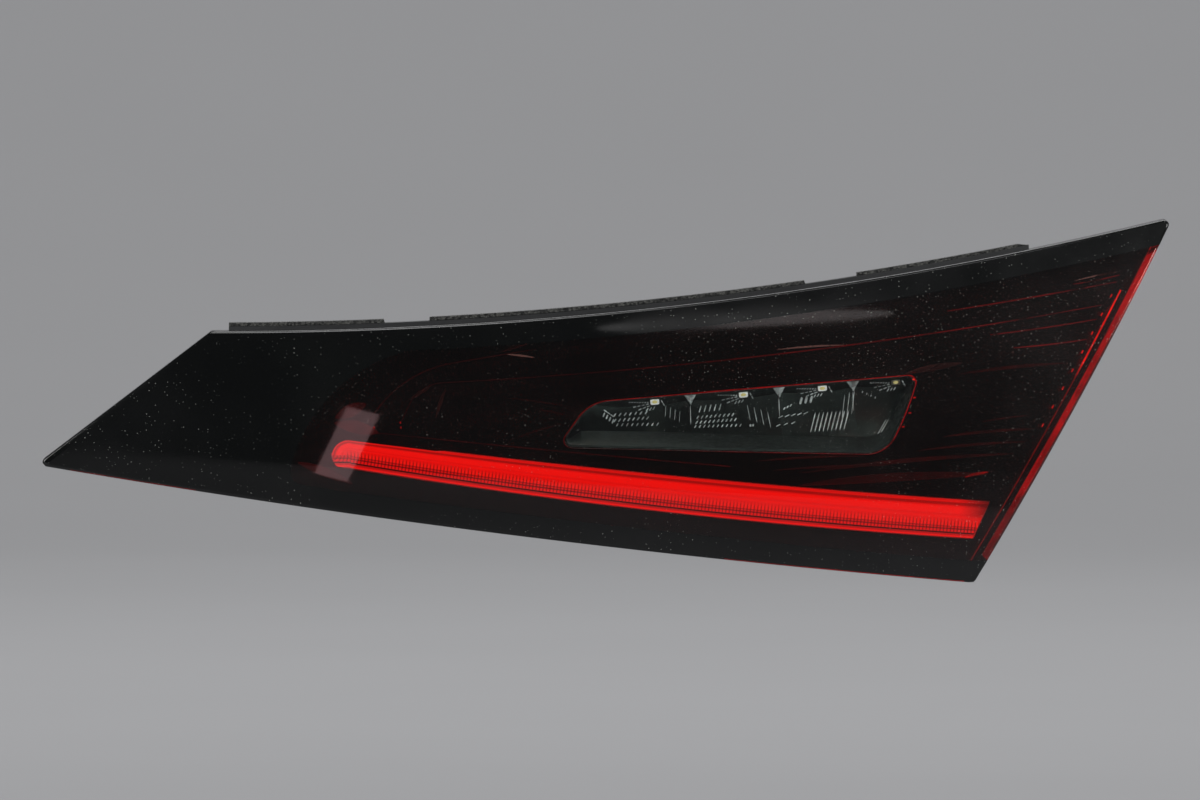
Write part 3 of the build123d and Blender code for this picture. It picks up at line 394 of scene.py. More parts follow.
def red_acrylic():
    """Red diffusing acrylic with a painted glow, no lamp, that stands in for the light it gathers. The
    glow's colour follows the bands across the bar, nearly black in the groove as painted shade, and lines
    across the bar darken it where the prisms are. The first mark of the surface is the distance from the tip
    in units of 100 mm and the second is the band."""
    finish, tree = new_finish("red_acrylic_painted_glow")
    marks = node(tree, "SeparateXYZ", [node(tree, "UVMap", uv_map="surface")])
    along, band = marks.outputs[:2]
    ramp = node(tree, "ValToRGB", [band])
    stops = {0.0: "#c81410", 0.03: "#e2140c", 0.055: "#a00904", 0.1: "#a00804", 0.13: "#da0c06"}
    stops |= {0.17: "#f2140a", 0.3: "#ee1208", 0.36: "#d80b04", 0.41: "#ec1006", 0.47: "#e20c04"}
    stops |= {0.53: "#f41a0e", 0.635: "#fa2014", 0.66: "#7c0607", 0.685: "#e01410", 0.71: "#d4100e"}
    stops |= {0.736: "#140101", 0.762: "#d81212", 0.82: "#ea1412", 0.842: "#b00a0a", 0.85: "#0c0101"}
    stops |= {0.878: "#100101", 0.886: "#980a0c", 0.94: "#c80c0c", 0.975: "#f61812", 1.0: "#b01010"}
    elements = ramp.color_ramp.elements
    for spot, code in list(stops.items())[1:-1]:
        elements.new(spot).color = linear(code)
    elements[0].color, elements[-1].color = linear(stops[0.0]), linear(stops[1.0])
    count = node(tree, "Math", (along, 100 / prism_pitch[0]), operation="MULTIPLY")
    wave = node(tree, "Math", (count, 0.5), operation="PINGPONG")
    line = node(tree, "Math", (wave, 2.0), operation="MULTIPLY")
    thin = node(tree, "Math", (line, 1.8), operation="POWER")
    zone = node(tree, "MapRange", (band, 0.42, 0.56))
    inside = node(tree, "Math", (band, 0.845), operation="LESS_THAN")
    part = node(tree, "Math", (zone, inside), operation="MULTIPLY")
    lines = node(tree, "Math", (thin, part), operation="MULTIPLY")
    depth = node(tree, "MapRange", (along, 2.26, 2.48, 0.85, 0.95))
    grid = node(tree, "Math", (lines, depth), operation="MULTIPLY")
    end = node(tree, "MapRange", (along, 2.45, 2.55))
    plain = node(tree, "MapRange", (band, 0.3, 0.5, 0.85, 0.0))
    fade = node(tree, "Math", (end, plain), operation="MULTIPLY")
    dark = node(tree, "Math", (grid, fade), operation="MAXIMUM")
    tone = node(tree, "Mix", {0: dark, 6: ramp.outputs[0], 7: linear("#380303")}, data_type="RGBA")
    sockets = {"Base Color": linear("#4a0403"), "Emission Color": tone.outputs[2], "Emission Strength": 3.6}
    return coated(finish, sockets | {"Roughness": 0.3, "IOR": 1.49})


bar, bar_marks = bar_sheet()
make_piece("light_bar", bar, [red_acrylic()], ["tail_light_bar"], uv=bar_marks, crease=40)


# Reversing lamp reflector: four open cells, each with a bowl of small pillow facets under the ledge that
# carries its LED, and a plain shelf in front. Moulded polycarbonate with a smoked metal coating.
pocket_corners = np.array([(-32.2, -18.4), (-19.5, -0.8), (108.2, 9.6), (95.2, -21.3)])
pocket_radii = (3.0, 16.0, 3.0, 13.0)
pocket_sags = (0.001, 0.001, 1.2, 0.001)
pocket_lip = 0.8
least_radius = 0.4
reflector_wall = 1.6
full_wall_height = 3.0
reflector_front = 12.6
reflector_back_y = -38.0
led_places = np.array([25.1, 59.8, 90.7, 119.4])
cell_edges = np.array([8.0, 38.9, 73.6, 102.6, 133.4])
dish_depth = 2.2
dish_limit = 6.0
bowl_depth = 6.0
shelf_rise = 5.0
ledge_depth = 8.0
ledge_drop = 4.2
ledge_top = 0.4
ledge_clear = 0.3
wedge_half = 2.8
wedge_rise = 5.0
wedge_depth = 2.6
wedge_flutes = (0.9, 0.2)
facet_rows = [
    ((9.1, -6.9), (21.4, -7.0), 7, 0.9, 1.7, 0.5),
    ((9.0, -9.0), (21.8, -9.1), 8, 0.9, 1.7, 0.5),
    ((9.8, -10.7), (25.5, -11.8), 9, 0.8, 1.5, 0.42),
    ((15.4, -15.1), (20.3, -15.3), 4, 0.5, 0.6, 0.45),
    ((4.9, -6.4), (8.2, -9.2), 4, 0.5, 1.9, 0.6),
    ((5.6, -5.0), (8.0, -7.0), 3, -1.2, 1.6, 0.5),
    ((29.0, -7.0), (34.3, -9.5), 4, 0.15, 4.5, 0.22),
    ((42.5, -7.3), (50.3, -7.2), 5, 0.4, 3.0, 0.45),
    ((41.3, -10.4), (55.1, -10.5), 9, 0.9, 1.6, 0.5),
    ((40.7, -12.3), (55.9, -12.5), 10, 0.9, 1.6, 0.5),
    ((40.1, -13.8), (57.7, -14.8), 11, 0.8, 1.4, 0.42),
    ((41.7, -18.3), (53.4, -18.8), 8, 0.5, 0.6, 0.45),
    ((61.3, -10.2), (69.0, -13.5), 4, -0.12, 6.5, 0.26),
    ((61.6, -15.2), (62.6, -15.2), 2, 0.3, 1.0, 0.8),
    ((75.3, -9.7), (77.9, -8.7), 3, 0.9, 1.3, 0.45),
    ((82.0, -7.3), (86.0, -7.1), 3, 0.35, 3.0, 0.95),
    ((73.6, -12.8), (83.5, -12.2), 5, 2.4, 2.2, 0.4),
    ((72.4, -16.0), (78.3, -15.5), 3, 2.4, 2.0, 0.4),
    ((86.0, -16.0), (99.0, -16.2), 9, 0.35, 8.0, 0.5),
    ((98.3, -11.0), (102.2, -9.3), 3, 0.2, 10.0, 0.3),
    ((106.2, -5.8), (111.0, -8.4), 4, 0.4, 0.9, 0.4),
    ((112.0, -20.8), (112.9, -20.8), 2, 0.7, 9.5, 0.4),
]
facet_rows += [((edge - 0.3, -9.2), (edge - 0.3, -9.2), 1, 0.05, 7.6, 0.3) for edge in cell_edges[1:-1]]
led_facet_rows = [
    ((-9.8, -2.3), (-2.8, -3.0), 8, 3.0, 0.7, 0.5),
    ((-8.0, -4.4), (-3.0, -3.7), 4, 6.0, 1.3, 0.45),
    ((-6.0, -5.6), (-2.6, -4.6), 3, 2.6, 1.5, 0.45),
    ((-3.2, -5.9), (-0.6, -5.6), 3, 0.8, 1.6, 0.45),
    ((2.8, -3.0), (3.4, -4.4), 2, -0.4, 1.4, 0.5),
]


def resampled(line, count, first=0, last=0):
    """A line of points spread again at even steps along its length, without a given length at each end."""
    steps = np.concatenate([[0], np.cumsum(np.hypot(*np.diff(line, axis=0).T))])
    even = np.linspace(first, steps[-1] - last, count)
    return np.stack([np.interp(even, steps, line[:, 0]), np.interp(even, steps, line[:, 1])], -1)


def corner_arc(before, corner, after, share):
    """The circular arc that rounds a corner: a weighted curve from a point before it to one after it, whose
    weight is the sine of half the corner's angle."""
    a, b = before - corner, after - corner
    weight = sin(np.arccos(np.dot(a, b) / (np.linalg.norm(a) * np.linalg.norm(b))) / 2)
    t = share[:, None]
    parts = ((1 - t) ** 2, 2 * weight * t * (1 - t), t**2)
    return (parts[0] * before + parts[1] * corner + parts[2] * after) / sum(parts)


def rounded_sides(edges, radii):
    """The sides of a closed outline with rounded corners. Each edge is cut back by radius over the tangent
    of half the corner's angle, and half of each neighbouring arc is joined on."""
    trims = []
    for arriving, leaving, radius in zip(edges[-1:] + edges, edges, radii):
        a, b = arriving[-2] - arriving[-1], leaving[1] - leaving[0]
        opening = np.dot(a / np.linalg.norm(a), b / np.linalg.norm(b))
        trims.append(radius / np.tan(np.arccos(np.clip(opening, -1, 1)) / 2))
    cuts = zip(edges, trims, trims[1:] + trims[:1])
    bodies = [resampled(edge, len(edge), first, last) for edge, first, last in cuts]
    sides = []
    for k, (edge, body) in enumerate(zip(edges, bodies)):
        opened = corner_arc(bodies[k - 1][-1], edge[0], body[0], np.linspace(0.5, 1, 9))
        closed = corner_arc(body[-1], edge[-1], bodies[k + 1 - len(edges)][0], np.linspace(0, 0.5, 9))
        sides.append(np.concatenate([opened[:-1], body, closed[1:]]))
    return sides


def rightward(run):
    """Vectors of length one, square to a row of front-view vectors and on their right."""
    return np.stack([run[:, 1], -run[:, 0]], -1) / np.maximum(np.hypot(*run.T), 1e-9)[:, None]


def inset_edges(corners, sags, inset, count):
    """The edges of a clockwise outline drawn inwards, with their bows. Each corner moves along the sum of
    its two edges' inward normals until both edges have moved by the inset."""
    inward = rightward(np.roll(corners, -1, 0) - corners)
    before = np.roll(inward, 1, 0)
    moved = corners + inset * (inward + before) / (1 + (inward * before).sum(-1, keepdims=True))
    return [bowed(*edge, count) for edge in zip(moved, np.roll(moved, -1, 0), sags)]


def pocket_sides(inset):
    """The rounded outline of the reversing lamp's opening, as its left, top, right and bottom sides."""
    edges = inset_edges(pocket_corners, pocket_sags, inset, 60)
    return rounded_sides(edges, [max(radius - inset, least_radius) for radius in pocket_radii])


pocket_origin = pocket_corners[1]
pocket_along = (pocket_corners[2] - pocket_origin) / np.linalg.norm(pocket_corners[2] - pocket_origin)
pocket_up = np.array([-pocket_along[1], pocket_along[0]])


def on_pocket(along, up):
    """Front-view points at a distance along the pocket's top edge and a height over it."""
    return pocket_origin + along[..., None] * pocket_along + up[..., None] * pocket_up


def pocket_chains(inset, count):
    """The pocket as columns square to its top edge: distance along, height of the foot and height of the
    top."""
    loop = np.concatenate(pocket_sides(inset)) - pocket_origin
    along, up = loop @ pocket_along, loop @ pocket_up
    first, last = np.argmin(along), np.argmax(along)
    rising = np.roll(np.arange(len(loop)), -first)
    turn = np.where(rising == last)[0][0]
    top, foot = rising[: turn + 1], np.append(rising[turn:], first)[::-1]
    even = np.linspace(0, 1, count)
    share = 0.35 * (0.5 - 0.5 * np.cos(pi * even)) + 0.65 * even
    columns = along[first] + (along[last] - along[first]) * share
    heights = [np.interp(columns, np.maximum.accumulate(along[chain]), up[chain]) for chain in (foot, top)]
    return columns, *heights


columns, column_foot, column_top = pocket_chains(pocket_lip, 520)
column_cell = np.searchsorted(cell_edges[1:-1], columns)
column_led = led_places[column_cell]
cell_halves = (column_led - cell_edges[column_cell], cell_edges[column_cell + 1] - column_led)
from_led = (columns - column_led) / np.where(columns < column_led, *cell_halves)
column_back = reflector_back_y - np.minimum(dish_depth * from_led**2, dish_limit)
ledge_front = reflector_back_y - ledge_depth
column_ledge = -ledge_top - ledge_drop * (column_back - ledge_front) / ledge_depth
column_ledge = np.minimum(column_ledge, column_top - ledge_clear)
column_shelf = np.minimum(column_foot + shelf_rise, 0.5 * (column_foot + column_ledge))
column_high = np.minimum(-ledge_top, column_top)


def cell_y(along, up):
    """Y of a cell at a distance along the pocket and a height: a parabola that leans forward by the bowl's
    depth from the ledge down to the shelf, and above it the slant of the ledge."""
    lines = (column_back, column_shelf, column_ledge, column_high)
    back, shelf, ledge, high = (np.interp(along, columns, line) for line in lines)
    down = np.clip((ledge - up) / np.maximum(ledge - shelf, 0.1), 0, 1)
    over = np.clip((up - ledge) / np.maximum(high - ledge, 0.1), 0, 1)
    return back - bowl_depth * down**2 + (ledge_front - back) * over


def graded(start, end, share):
    """For each column, values that go from its start to its end by the shares."""
    return np.asarray(start)[..., None] + (end - start)[..., None] * share


def reflector_sheet():
    """Sections across the pocket, one for each distance along it: ramp up the shelf, bowl, slanted ledge,
    top. A fluted wedge, widest at the top, stands under the ledge between two cells."""
    front = face_y(*on_pocket(columns, 0.5 * (column_foot + column_top)).T, reflector_front)
    ramp, bowl, ledge, roof = (np.linspace(0, 1, count) for count in (16, 60, 30, 6))
    z_cell = [graded(column_shelf, column_ledge, bowl[1:]), graded(column_ledge, column_high, ledge[1:])]
    z_cell = np.concatenate(z_cell, 1)
    s_cell = np.broadcast_to(columns[:, None], z_cell.shape)
    y_cell = cell_y(s_cell, z_cell)
    wedges = np.zeros(z_cell.shape)
    for edge in cell_edges[1:-1]:
        width = np.clip(wedge_half * (1 - (-ledge_top - z_cell) / wedge_rise), 0.01, None)
        inside = np.clip(1 - np.abs(s_cell - edge) / width, 0, 1) * (z_cell < -ledge_top - 0.1)
        flute = wedge_flutes[1] * np.sin(pi * (s_cell - edge) / wedge_flutes[0]) ** 2
        y_cell = y_cell - np.where(inside > 0, wedge_depth * np.sqrt(inside) - flute, 0)
        wedges = np.maximum(wedges, inside)
    out = reflector_wall * np.clip((column_top - column_foot) / full_wall_height, 0, 1)
    z_out = np.stack([column_top + out, column_top + out, column_foot - out, column_foot - out], -1)
    y_out = np.stack([front, np.full_like(front, reflector_back_y + reflector_wall)], -1)
    z_roof, y_roof = graded(column_high, column_top, roof[1:]), graded(ledge_front, front, roof[1:])
    z = np.concatenate([graded(column_foot, column_shelf, ramp), z_cell, z_roof, z_out], 1)
    y_ramp = graded(front, column_back - bowl_depth, ramp)
    y = np.concatenate([y_ramp, y_cell, y_roof, y_out, y_out[:, ::-1]], 1)
    which = np.zeros(y.shape, int)
    which[:, len(ramp) : len(ramp) + z_cell.shape[1]] = wedges > 0
    which[:, : len(ramp)] = 2
    flat = on_pocket(columns[:, None], z)
    return gridded(np.stack([flat[..., 0], y, flat[..., 1]], -1)), which[:-1]


def dashes(first, last, count, lean, length, width):
    """A row of facet edges: count places from the first to the last, each a short line through its place,
    leaning sideways by lean for each mm up. One line of the result is its two ends and its width."""
    middle = np.linspace(first, last, count)
    half = np.array([lean, 1.0]) / hypot(lean, 1.0) * length / 2
    return np.concatenate([middle - half, middle + half, np.full((count, 1), width)], 1)


def ridge_sheet(lines):
    """Narrow raised facets. Each runs between two places on the cells and follows them; its section is an
    oval as high as 0.45 of its width, drawn to nothing at both ends."""
    share, turn = np.linspace(0, 1, 9), np.linspace(0, 2 * pi, 6, endpoint=False)
    run = lines[:, 2:4] - lines[:, :2]
    side = np.stack([-run[:, 1], run[:, 0]], -1) / np.maximum(np.hypot(*run.T), 0.05)[:, None]
    size = lines[:, 4, None] / 2 * np.sqrt(np.clip(1 - (2 * share - 1) ** 4, 0, 1))
    spot = lines[:, None, :2] + run[:, None] * share[None, :, None]
    wide = size[..., None] * np.cos(turn)
    along, up = (spot[..., way, None] + side[:, None, None, way] * wide for way in (0, 1))
    y = cell_y(spot[..., 0], spot[..., 1])[..., None] - 0.9 * size[..., None] * np.sin(turn)
    flat = on_pocket(along, up)
    return joined([gridded(ridge) for ridge in np.stack([flat[..., 0], y, flat[..., 1]], -1)])


# Vacuum-metallised polycarbonate under a smoked lacquer: a dark mirror that only shows lamps and pale
# things. The shelf is paler inboard, with painted shade darkening it outboard; the wedges and raised facets
# are brighter metal with painted glints that sparkle in spots.
reflector_silver = metal("smoked_metallising", "#4c5351", "#3d4442", 0.4, 2.0)
shelf_silver = metal("satin_metallising", "#838b88", "#6a726f", 0.45, 2.0, more={"Metallic": 0.7})
# Painted shade: the shelf's colour is multiplied down outboard to 0.22 of itself.
tree = shelf_silver.node_tree
shelf_tone = tree.nodes["Principled BSDF"].inputs["Base Color"]
inboard = node(tree, "SeparateXYZ", [node(tree, "TexCoord").outputs["Object"]])
shade = node(tree, "MapRange", (inboard, -0.015, 0.03, 1.0, 0.22))
tone = {0: 1.0, 6: shelf_tone.links[0].from_socket, 7: shade}
tone = node(tree, "Mix", tone, data_type="RGBA", blend_type="MULTIPLY")
tree.links.new(tone.outputs[2], shelf_tone)
# Painted glints: the bright metallising of the wedges and facets glows pale in spots of noise.
facet_painted_glint_sockets = {"Metallic": 0.25, "Emission Color": linear("#e3e9ea")}
facet_silver = metal("metallising_painted_glints", "#e3e9ea", "#b4bbbc", 0.42, 1.0, more=facet_painted_glint_sockets)
tree = facet_silver.node_tree
place = node(tree, "TexCoord").outputs["Object"]
spots = node(tree, "TexNoise", {"Vector": place, "Scale": 1000 / 3.0, "Detail": 2.0})
sparkle = node(tree, "MapRange", (spots, 0.4, 0.68, 0.02, 0.36))
tree.links.new(sparkle.outputs[0], tree.nodes["Principled BSDF"].inputs["Emission Strength"])
shell, shell_parts = reflector_sheet()
finishes = [reflector_silver, facet_silver, shelf_silver]
make_piece("faceted_reflector", shell, finishes, ["reverse_reflector"], shell_parts, 50)
facets = [dashes(*row) for row in facet_rows]
for place in led_places:
    for first, last, *row in led_facet_rows:
        facets.append(dashes(np.add(first, (place, 0)), np.add(last, (place, 0)), *row))
facets = ridge_sheet(np.concatenate(facets))
make_piece("reflector_facets", facets, [facet_silver], crease=60)


# Reversing lamp board behind the ledge, with its LEDs and heat sink: white board, ceramic packages with a
# yellow phosphor spot, extruded aluminium fins.
led_size = (3.5, 2.8)
led_sides = 32
led_tilt = radians(-24)
led_lift = 0.6
ledge_slope = np.array([ledge_drop, ledge_depth]) / hypot(ledge_drop, ledge_depth)


def rounded_square(count, power):
    """Points round a square of half width one: the cosine and sine of a turn, raised to a power of one or
    less that rounds the corners."""
    turn = np.linspace(0, 2 * pi, count, endpoint=False)
    circle = np.stack([np.cos(turn), np.sin(turn)], -1)
    return np.sign(circle) * np.abs(circle) ** power


def led_sheet(place):
    """Rounded-rectangle rings from the board's face up the side of the package, over its edge and in to a
    raised round spot; the package lies on the slanted ledge."""
    square, circle = rounded_square(led_sides, 0.35), rounded_square(led_sides, 1)
    rings = [(square * 0, 0.0), (square, 0.0), (square, 1.75), (square * 0.95, 1.9), (square * 0.72, 1.9)]
    rings += [(circle * 0.58, 1.82), (circle * 0.5, 1.9), (circle * 0, 1.95)]
    flat = np.stack([ring * np.array(led_size) / 2 for ring, height in rings])
    rise = np.array([height for ring, height in rings])[:, None, None]
    facing_y = cos(led_tilt) * ledge_slope[0] - sin(led_tilt) * ledge_slope[1]
    facing_up = sin(led_tilt) * ledge_slope[0] + cos(led_tilt) * ledge_slope[1]
    side, up = (np.array([way[0], 0, way[1]]) for way in (pocket_along, pocket_up))
    normal = facing_up * up + (0, facing_y, 0)
    middle = np.array([pocket_origin[0], reflector_back_y - ledge_depth / 2, pocket_origin[1]])
    middle = middle - up * (ledge_top + ledge_drop / 2) + normal * (reflector_wall - led_lift) + side * place
    return gridded(middle + flat[..., :1] * side + flat[..., 1:] * np.cross(normal, side) - rise * normal)


# Alumina-filled resin round a phosphor spot: clean white, waxy yellow in the middle, both with a painted
# glow;
# the last package's resin is a darker copy without glow, as painted shade.
resin_painted_glow = {"Emission Color": linear("#f4f4f0"), "Emission Strength": 0.45}
package_white = moulded("white_led_resin", "#e8e8e4", "#f4f4f1", 0.4, 0.4, 0.01, glow=resin_painted_glow)
shaded_white = moulded("shaded_led_resin", "#a9a99c", "#b5b5a8", 0.4, 0.4, 0.01)
heat_sink = metal("extruded_aluminium", "#aeb2b6", "#8c9196", 0.38, 1.2, (0.1, 1, 1))
leds = joined([led_sheet(place) for place in led_places])
led_parts = np.concatenate([np.repeat([resin] * 5 + [1, 1], led_sides) for resin in (0, 0, 0, 2)])
finishes = [package_white, phosphor, shaded_white]
make_piece("reverse_led_packages", leds, finishes, ["reverse_leds"], led_parts, 50)
dress(white_board, "circuit_board", "reverse_led_board")
dress(heat_sink, "heat_sink", "reverse_heat_sink")


# Bezel: the black sheet round the bar and the reversing lamp, stepping down in three sweeping terraces with
# fine ribs between them. Moulded in gloss black polycarbonate blend, screwed to the flange of the housing.
lens_corners = np.array([(-235.5, -25.8), (-167.0, 26.5), (208.3, 70.0), (130.0, -71.5)])
lens_sags = (0.001, -10.8, 1.6, 3.4)
bezel_inset = 3.1
bezel_radii = (12.0, 12.0, 0.8, 0.8)
bezel_inner_x = -150.0
bezel_depth = 7.6
bezel_roll = 0.6
bezel_wall = 2.0
bezel_full = 4.0
bar_gap = 0.5
split_rise = 2.0
flange_depth = 13.8
terrace_back = 12.6
terrace_step = 1.0
terrace_slope = 6.0
terrace_rib = 0.2
rib_middle = 9.0
rib_width = 1.6
flank_length = 150.0
upper_lead = (60.0, 0.0)
terraces = (
    ((-91.0, 11.0), (187.0, 48.0), 3.0, radians(37), 18.0),
    ((-86.0, 6.0), (180.0, 35.9), -4.2, radians(25), 9.0),
    ((-72.0, -5.0), (176.0, 26.0), -4.6, radians(20), 11.0),
)


def lens_edges(inset):
    """The four edges of the lens drawn inwards, with their bows."""
    return inset_edges(lens_corners, lens_sags, inset, 400)


def between(line, axis, low, high=np.inf):
    """The points of a line whose first or second value lies between two limits."""
    return line[(line[:, axis] > low) & (line[:, axis] < high)]


def matched(lines, counts):
    """Several lines, each spread again to its own count of points, end to end as one."""
    return np.concatenate([resampled(line, count)[:-1] for line, count in zip(lines, counts)])


def distance_to(line, x, z):
    """Signed distance of points from an open line: positive on the right of its direction."""
    best = np.full(x.shape, np.inf)
    sign = np.ones(x.shape)
    for (ax, az), (run_x, run_z) in zip(line[:-1], np.diff(line, axis=0)):
        along = np.clip(((x - ax) * run_x + (z - az) * run_z) / (run_x**2 + run_z**2), 0, 1)
        gap = np.hypot(x - ax - along * run_x, z - az - along * run_z)
        side = np.sign(run_z * (x - ax) - run_x * (z - az))
        nearer = gap < best
        best = np.where(nearer, gap, best)
        sign = np.where(nearer, side, sign)
    return best * sign


def terrace_line(left, right, sag, lean, trim):
    """The edge of one terrace: up the leaning left flank, round the corner and along the shallow upper
    arc."""
    left, right = np.array(left), np.array(right)
    foot = left + flank_length * np.array([-sin(lean), -cos(lean)])
    flank = resampled(np.linspace(foot, left, 60), 60, 0, trim)
    upper = resampled(bowed(left, right, sag, 60), 60, trim)
    bend = corner_arc(flank[-1], left, upper[0], np.linspace(0, 1, 12))
    end = [right + upper_lead]
    return np.concatenate([flank[::8], flank[-1:], bend[1:-1], upper[::2], upper[-1:], end])


terrace_edges = [terrace_line(*row) for row in terraces]


def bezel_front(x, z):
    """Depth of the bezel's face: the outer level, one step deeper inside each terrace line over a soft
    slope, with a low rib beyond the foot of each slope."""
    depth = np.full(x.shape, bezel_depth)
    for line in terrace_edges:
        inside = distance_to(line, x, z)
        ease = np.clip(inside / terrace_slope, 0, 1)
        depth = depth + terrace_step * ease * ease * (3 - 2 * ease)
        depth = depth - terrace_rib * np.exp(-(((inside - rib_middle) / rib_width) ** 2))
    return depth


def panel(outer, inner, front, back, rim, wall, foot, steps, back_steps, closed):
    """A closed shell between an outer and an inner outline that are matched point by point. Rows go from
    the inner outline over the face to the rolled outer edge, down the wall to its foot, up inside it and
    back. Depths are behind the lens face: front gives one for each place, and rim and wall hold one for
    each point."""
    run = np.roll(outer, -1, 0) - np.roll(outer, 1, 0) if closed else np.gradient(outer, axis=0)
    inward = rightward(run)
    edge, web = outer + inward * rim[:, None], outer + inward * wall[:, None]
    rows = [inner + (edge - inner) * np.reshape(share, (-1, 1)) for share in steps]
    depths = [front(*row.T) for row in rows]
    level = depths[-1]
    for angle in (radians(30), radians(60), radians(90)):
        rows.append(outer + inward * (rim * (1 - sin(angle)))[:, None])
        depths.append(level + rim * (1 - cos(angle)))
    rows += [outer, web]
    rows += [inner + (web - inner) * np.reshape(share, (-1, 1)) for share in back_steps[::-1]]
    depths += [foot, foot] + [back] * len(back_steps)
    depths = np.stack([np.broadcast_to(depth, len(outer)) for depth in depths])
    return gridded(behind_face(np.stack(rows), depths), True, closed)


def bezel_sheets():
    """Two panels that meet on the line of the bar: one round the reversing lamp, one below the bar."""
    left, top, side, bottom = lens_edges(bezel_inset)
    top, bottom = (between(line, 0, bezel_inner_x) for line in (top, bottom))
    edges = [np.linspace(bottom[-1], top[0], 60), top, side, bottom]
    left, top, side, bottom = rounded_sides(edges, bezel_radii)
    bar_edges = []
    for (start, end, sag), gap in ((bar_top, bar_gap), (bar_foot, -bar_gap)):
        bar_edges.append(bowed(np.add(start, (0, gap)), np.add(end, (bar_gap, gap)), sag, 200))
    bar_upper, bar_lower = bar_edges
    radius = (bar_upper[0, 1] - bar_lower[0, 1]) / 2
    middle = bar_upper[0] - (0, radius)
    bend = np.linspace(0, pi / 2, 30)
    upper_end = middle + radius * np.stack([-np.sin(bend), np.cos(bend)], -1)
    lower_end = middle + radius * np.stack([-np.sin(bend), -np.cos(bend)], -1)
    inner_split = np.array([bezel_inner_x, middle[1] + split_rise])
    across = np.argmin(np.abs(side[:, 1] - bar_upper[-1, 1]))
    outer_split = side[across]
    seam = [bar_upper[::-1], upper_end[1:], np.linspace(upper_end[-1], inner_split, 12)[1:]]
    seam = [np.linspace(outer_split, bar_upper[-1], 12)[:-1], resampled(np.concatenate(seam), 289)[:-1]]
    low_seam = [np.linspace(inner_split, upper_end[-1], 12), lower_end[::-1][1:], bar_lower[1:]]
    low_seam.append(np.linspace(bar_lower[-1], bar_upper[-1], 12)[1:])
    low_seam.append(np.linspace(bar_upper[-1], outer_split, 12)[1:])
    left_up = np.concatenate([[inner_split], left[left[:, 1] >= inner_split[1]]])
    left_down = np.concatenate([left[left[:, 1] < inner_split[1]], [inner_split]])
    counts = (60, 300, 90, 300)
    outer = np.concatenate([matched((left_up, top, side[: across + 1]), counts), *seam])
    inner = matched(pocket_sides(0.0), counts)
    rimmed = np.repeat([True, True, True, False], np.subtract(counts, 1))
    sizes = (bezel_roll * rimmed, bezel_wall * rimmed, np.where(rimmed, flange_depth, terrace_back))
    upper = panel(outer, inner, bezel_front, terrace_back, *sizes, np.linspace(0, 1, 96), (0, 1), True)
    outer = resampled(np.concatenate([side[across:-1], bottom[:-1], left_down]), 420)
    inner = resampled(np.concatenate(low_seam)[::-1], 420)
    room = np.clip(np.hypot(*(outer - inner).T) / bezel_full, 0, 1)
    sizes = (bezel_roll * room, bezel_wall * room, flange_depth)
    lower = panel(outer, inner, bezel_front, terrace_back, *sizes, np.linspace(0, 1, 30), (0, 1), False)
    return joined([upper, lower])


def gloss_black():
    """Piano-black polycarbonate blend: a near mirror over deep black, with the faint waviness of the tool
    and a haze of fine dust and hairlines that lifts the roughness in patches."""
    finish, tree = new_finish("gloss_black_polycarbonate")
    place = node(tree, "TexCoord").outputs["Object"]
    haze = node(tree, "TexNoise", {"Vector": place, "Scale": 1000 / 40, "Detail": 5.0})
    dull = node(tree, "MapRange", (haze, 0.35, 0.7, 0.14, 0.28))
    tone = node(tree, "Mix", {0: haze, 6: linear("#070707"), 7: linear("#120d0c")}, data_type="RGBA")
    wave = node(tree, "TexNoise", {"Vector": place, "Scale": 1000 / 9, "Detail": 1.0})
    relief = node(tree, "Bump", {"Height": wave, "Distance": 0.00003})
    return coated(finish, {"Base Color": tone.outputs[2], "Roughness": dull, "Normal": relief, "IOR": 1.58})


make_piece("terraced_bezel", bezel_sheets(), [gloss_black()], ["bezel"], crease=45)


# Side rail and nubs on the bezel: a thin line and a row of ticks inside the outer edge, red ribs on the
# bezel's ribs with a painted glow that stands in for the light of the lens wall they catch.
rail_inset = 5.3
rail_heights = (-63.0, 42.0)
rail_widths = (0.3, 0.5)
rail_swell = (8.0, 12.0)
rail_depth = bezel_depth - 1.2
nub_inset = 7.5
nub_half = 0.7
nub_width = 0.4
nub_depth = bezel_depth - 0.8
pocket_nub_share = 0.7
spark_share = 0.5
spark_width = 0.5
nub_shares = np.linspace(0.17, 0.57, 8)
pocket_nubs = ((106.6, 7.4), (106.8, 0.4), (105.0, -5.5), (102.4, -10.9))
spark_places = ((-103.4, -10.9), (-93.2, -9.0), (-93.0, -10.9))
end_tick = ((126.6, -30.7), (135.6, -28.7), 0.3)
end_tick_width = 0.9
end_tick_depth = bezel_depth + 0.6


def glowing(name, colour, strength, dim, way, fade, patch):
    """Red acrylic with a painted glow, no lamp, that stands in for the light it catches and pipes. The glow
    grows along a way through the piece, from a dim share at one distance to the full strength at another;
    noise with patches of the given width in mm breaks it up."""
    finish, tree = new_finish(name)
    place = node(tree, "TexCoord").outputs["Object"]
    reach = node(tree, "VectorMath", (place, way), operation="DOT_PRODUCT")
    fall = node(tree, "MapRange", (reach.outputs["Value"], *fade, dim))
    patches = {"Vector": place, "Scale": 1000 / patch, "Detail": 4.0, "Roughness": 0.65}
    spread = node(tree, "MapRange", (node(tree, "TexNoise", patches), 0.35, 0.65, 0.25))
    level = node(tree, "Math", (fall, spread), operation="MULTIPLY")
    tone = node(tree, "Mix", {0: level, 6: linear("#080101"), 7: linear(colour)}, data_type="RGBA")
    sockets = {"Base Color": linear("#3a0605"), "Roughness": 0.2, "IOR": 1.49}
    return coated(finish, sockets | {"Emission Color": tone.outputs[2], "Emission Strength": strength})


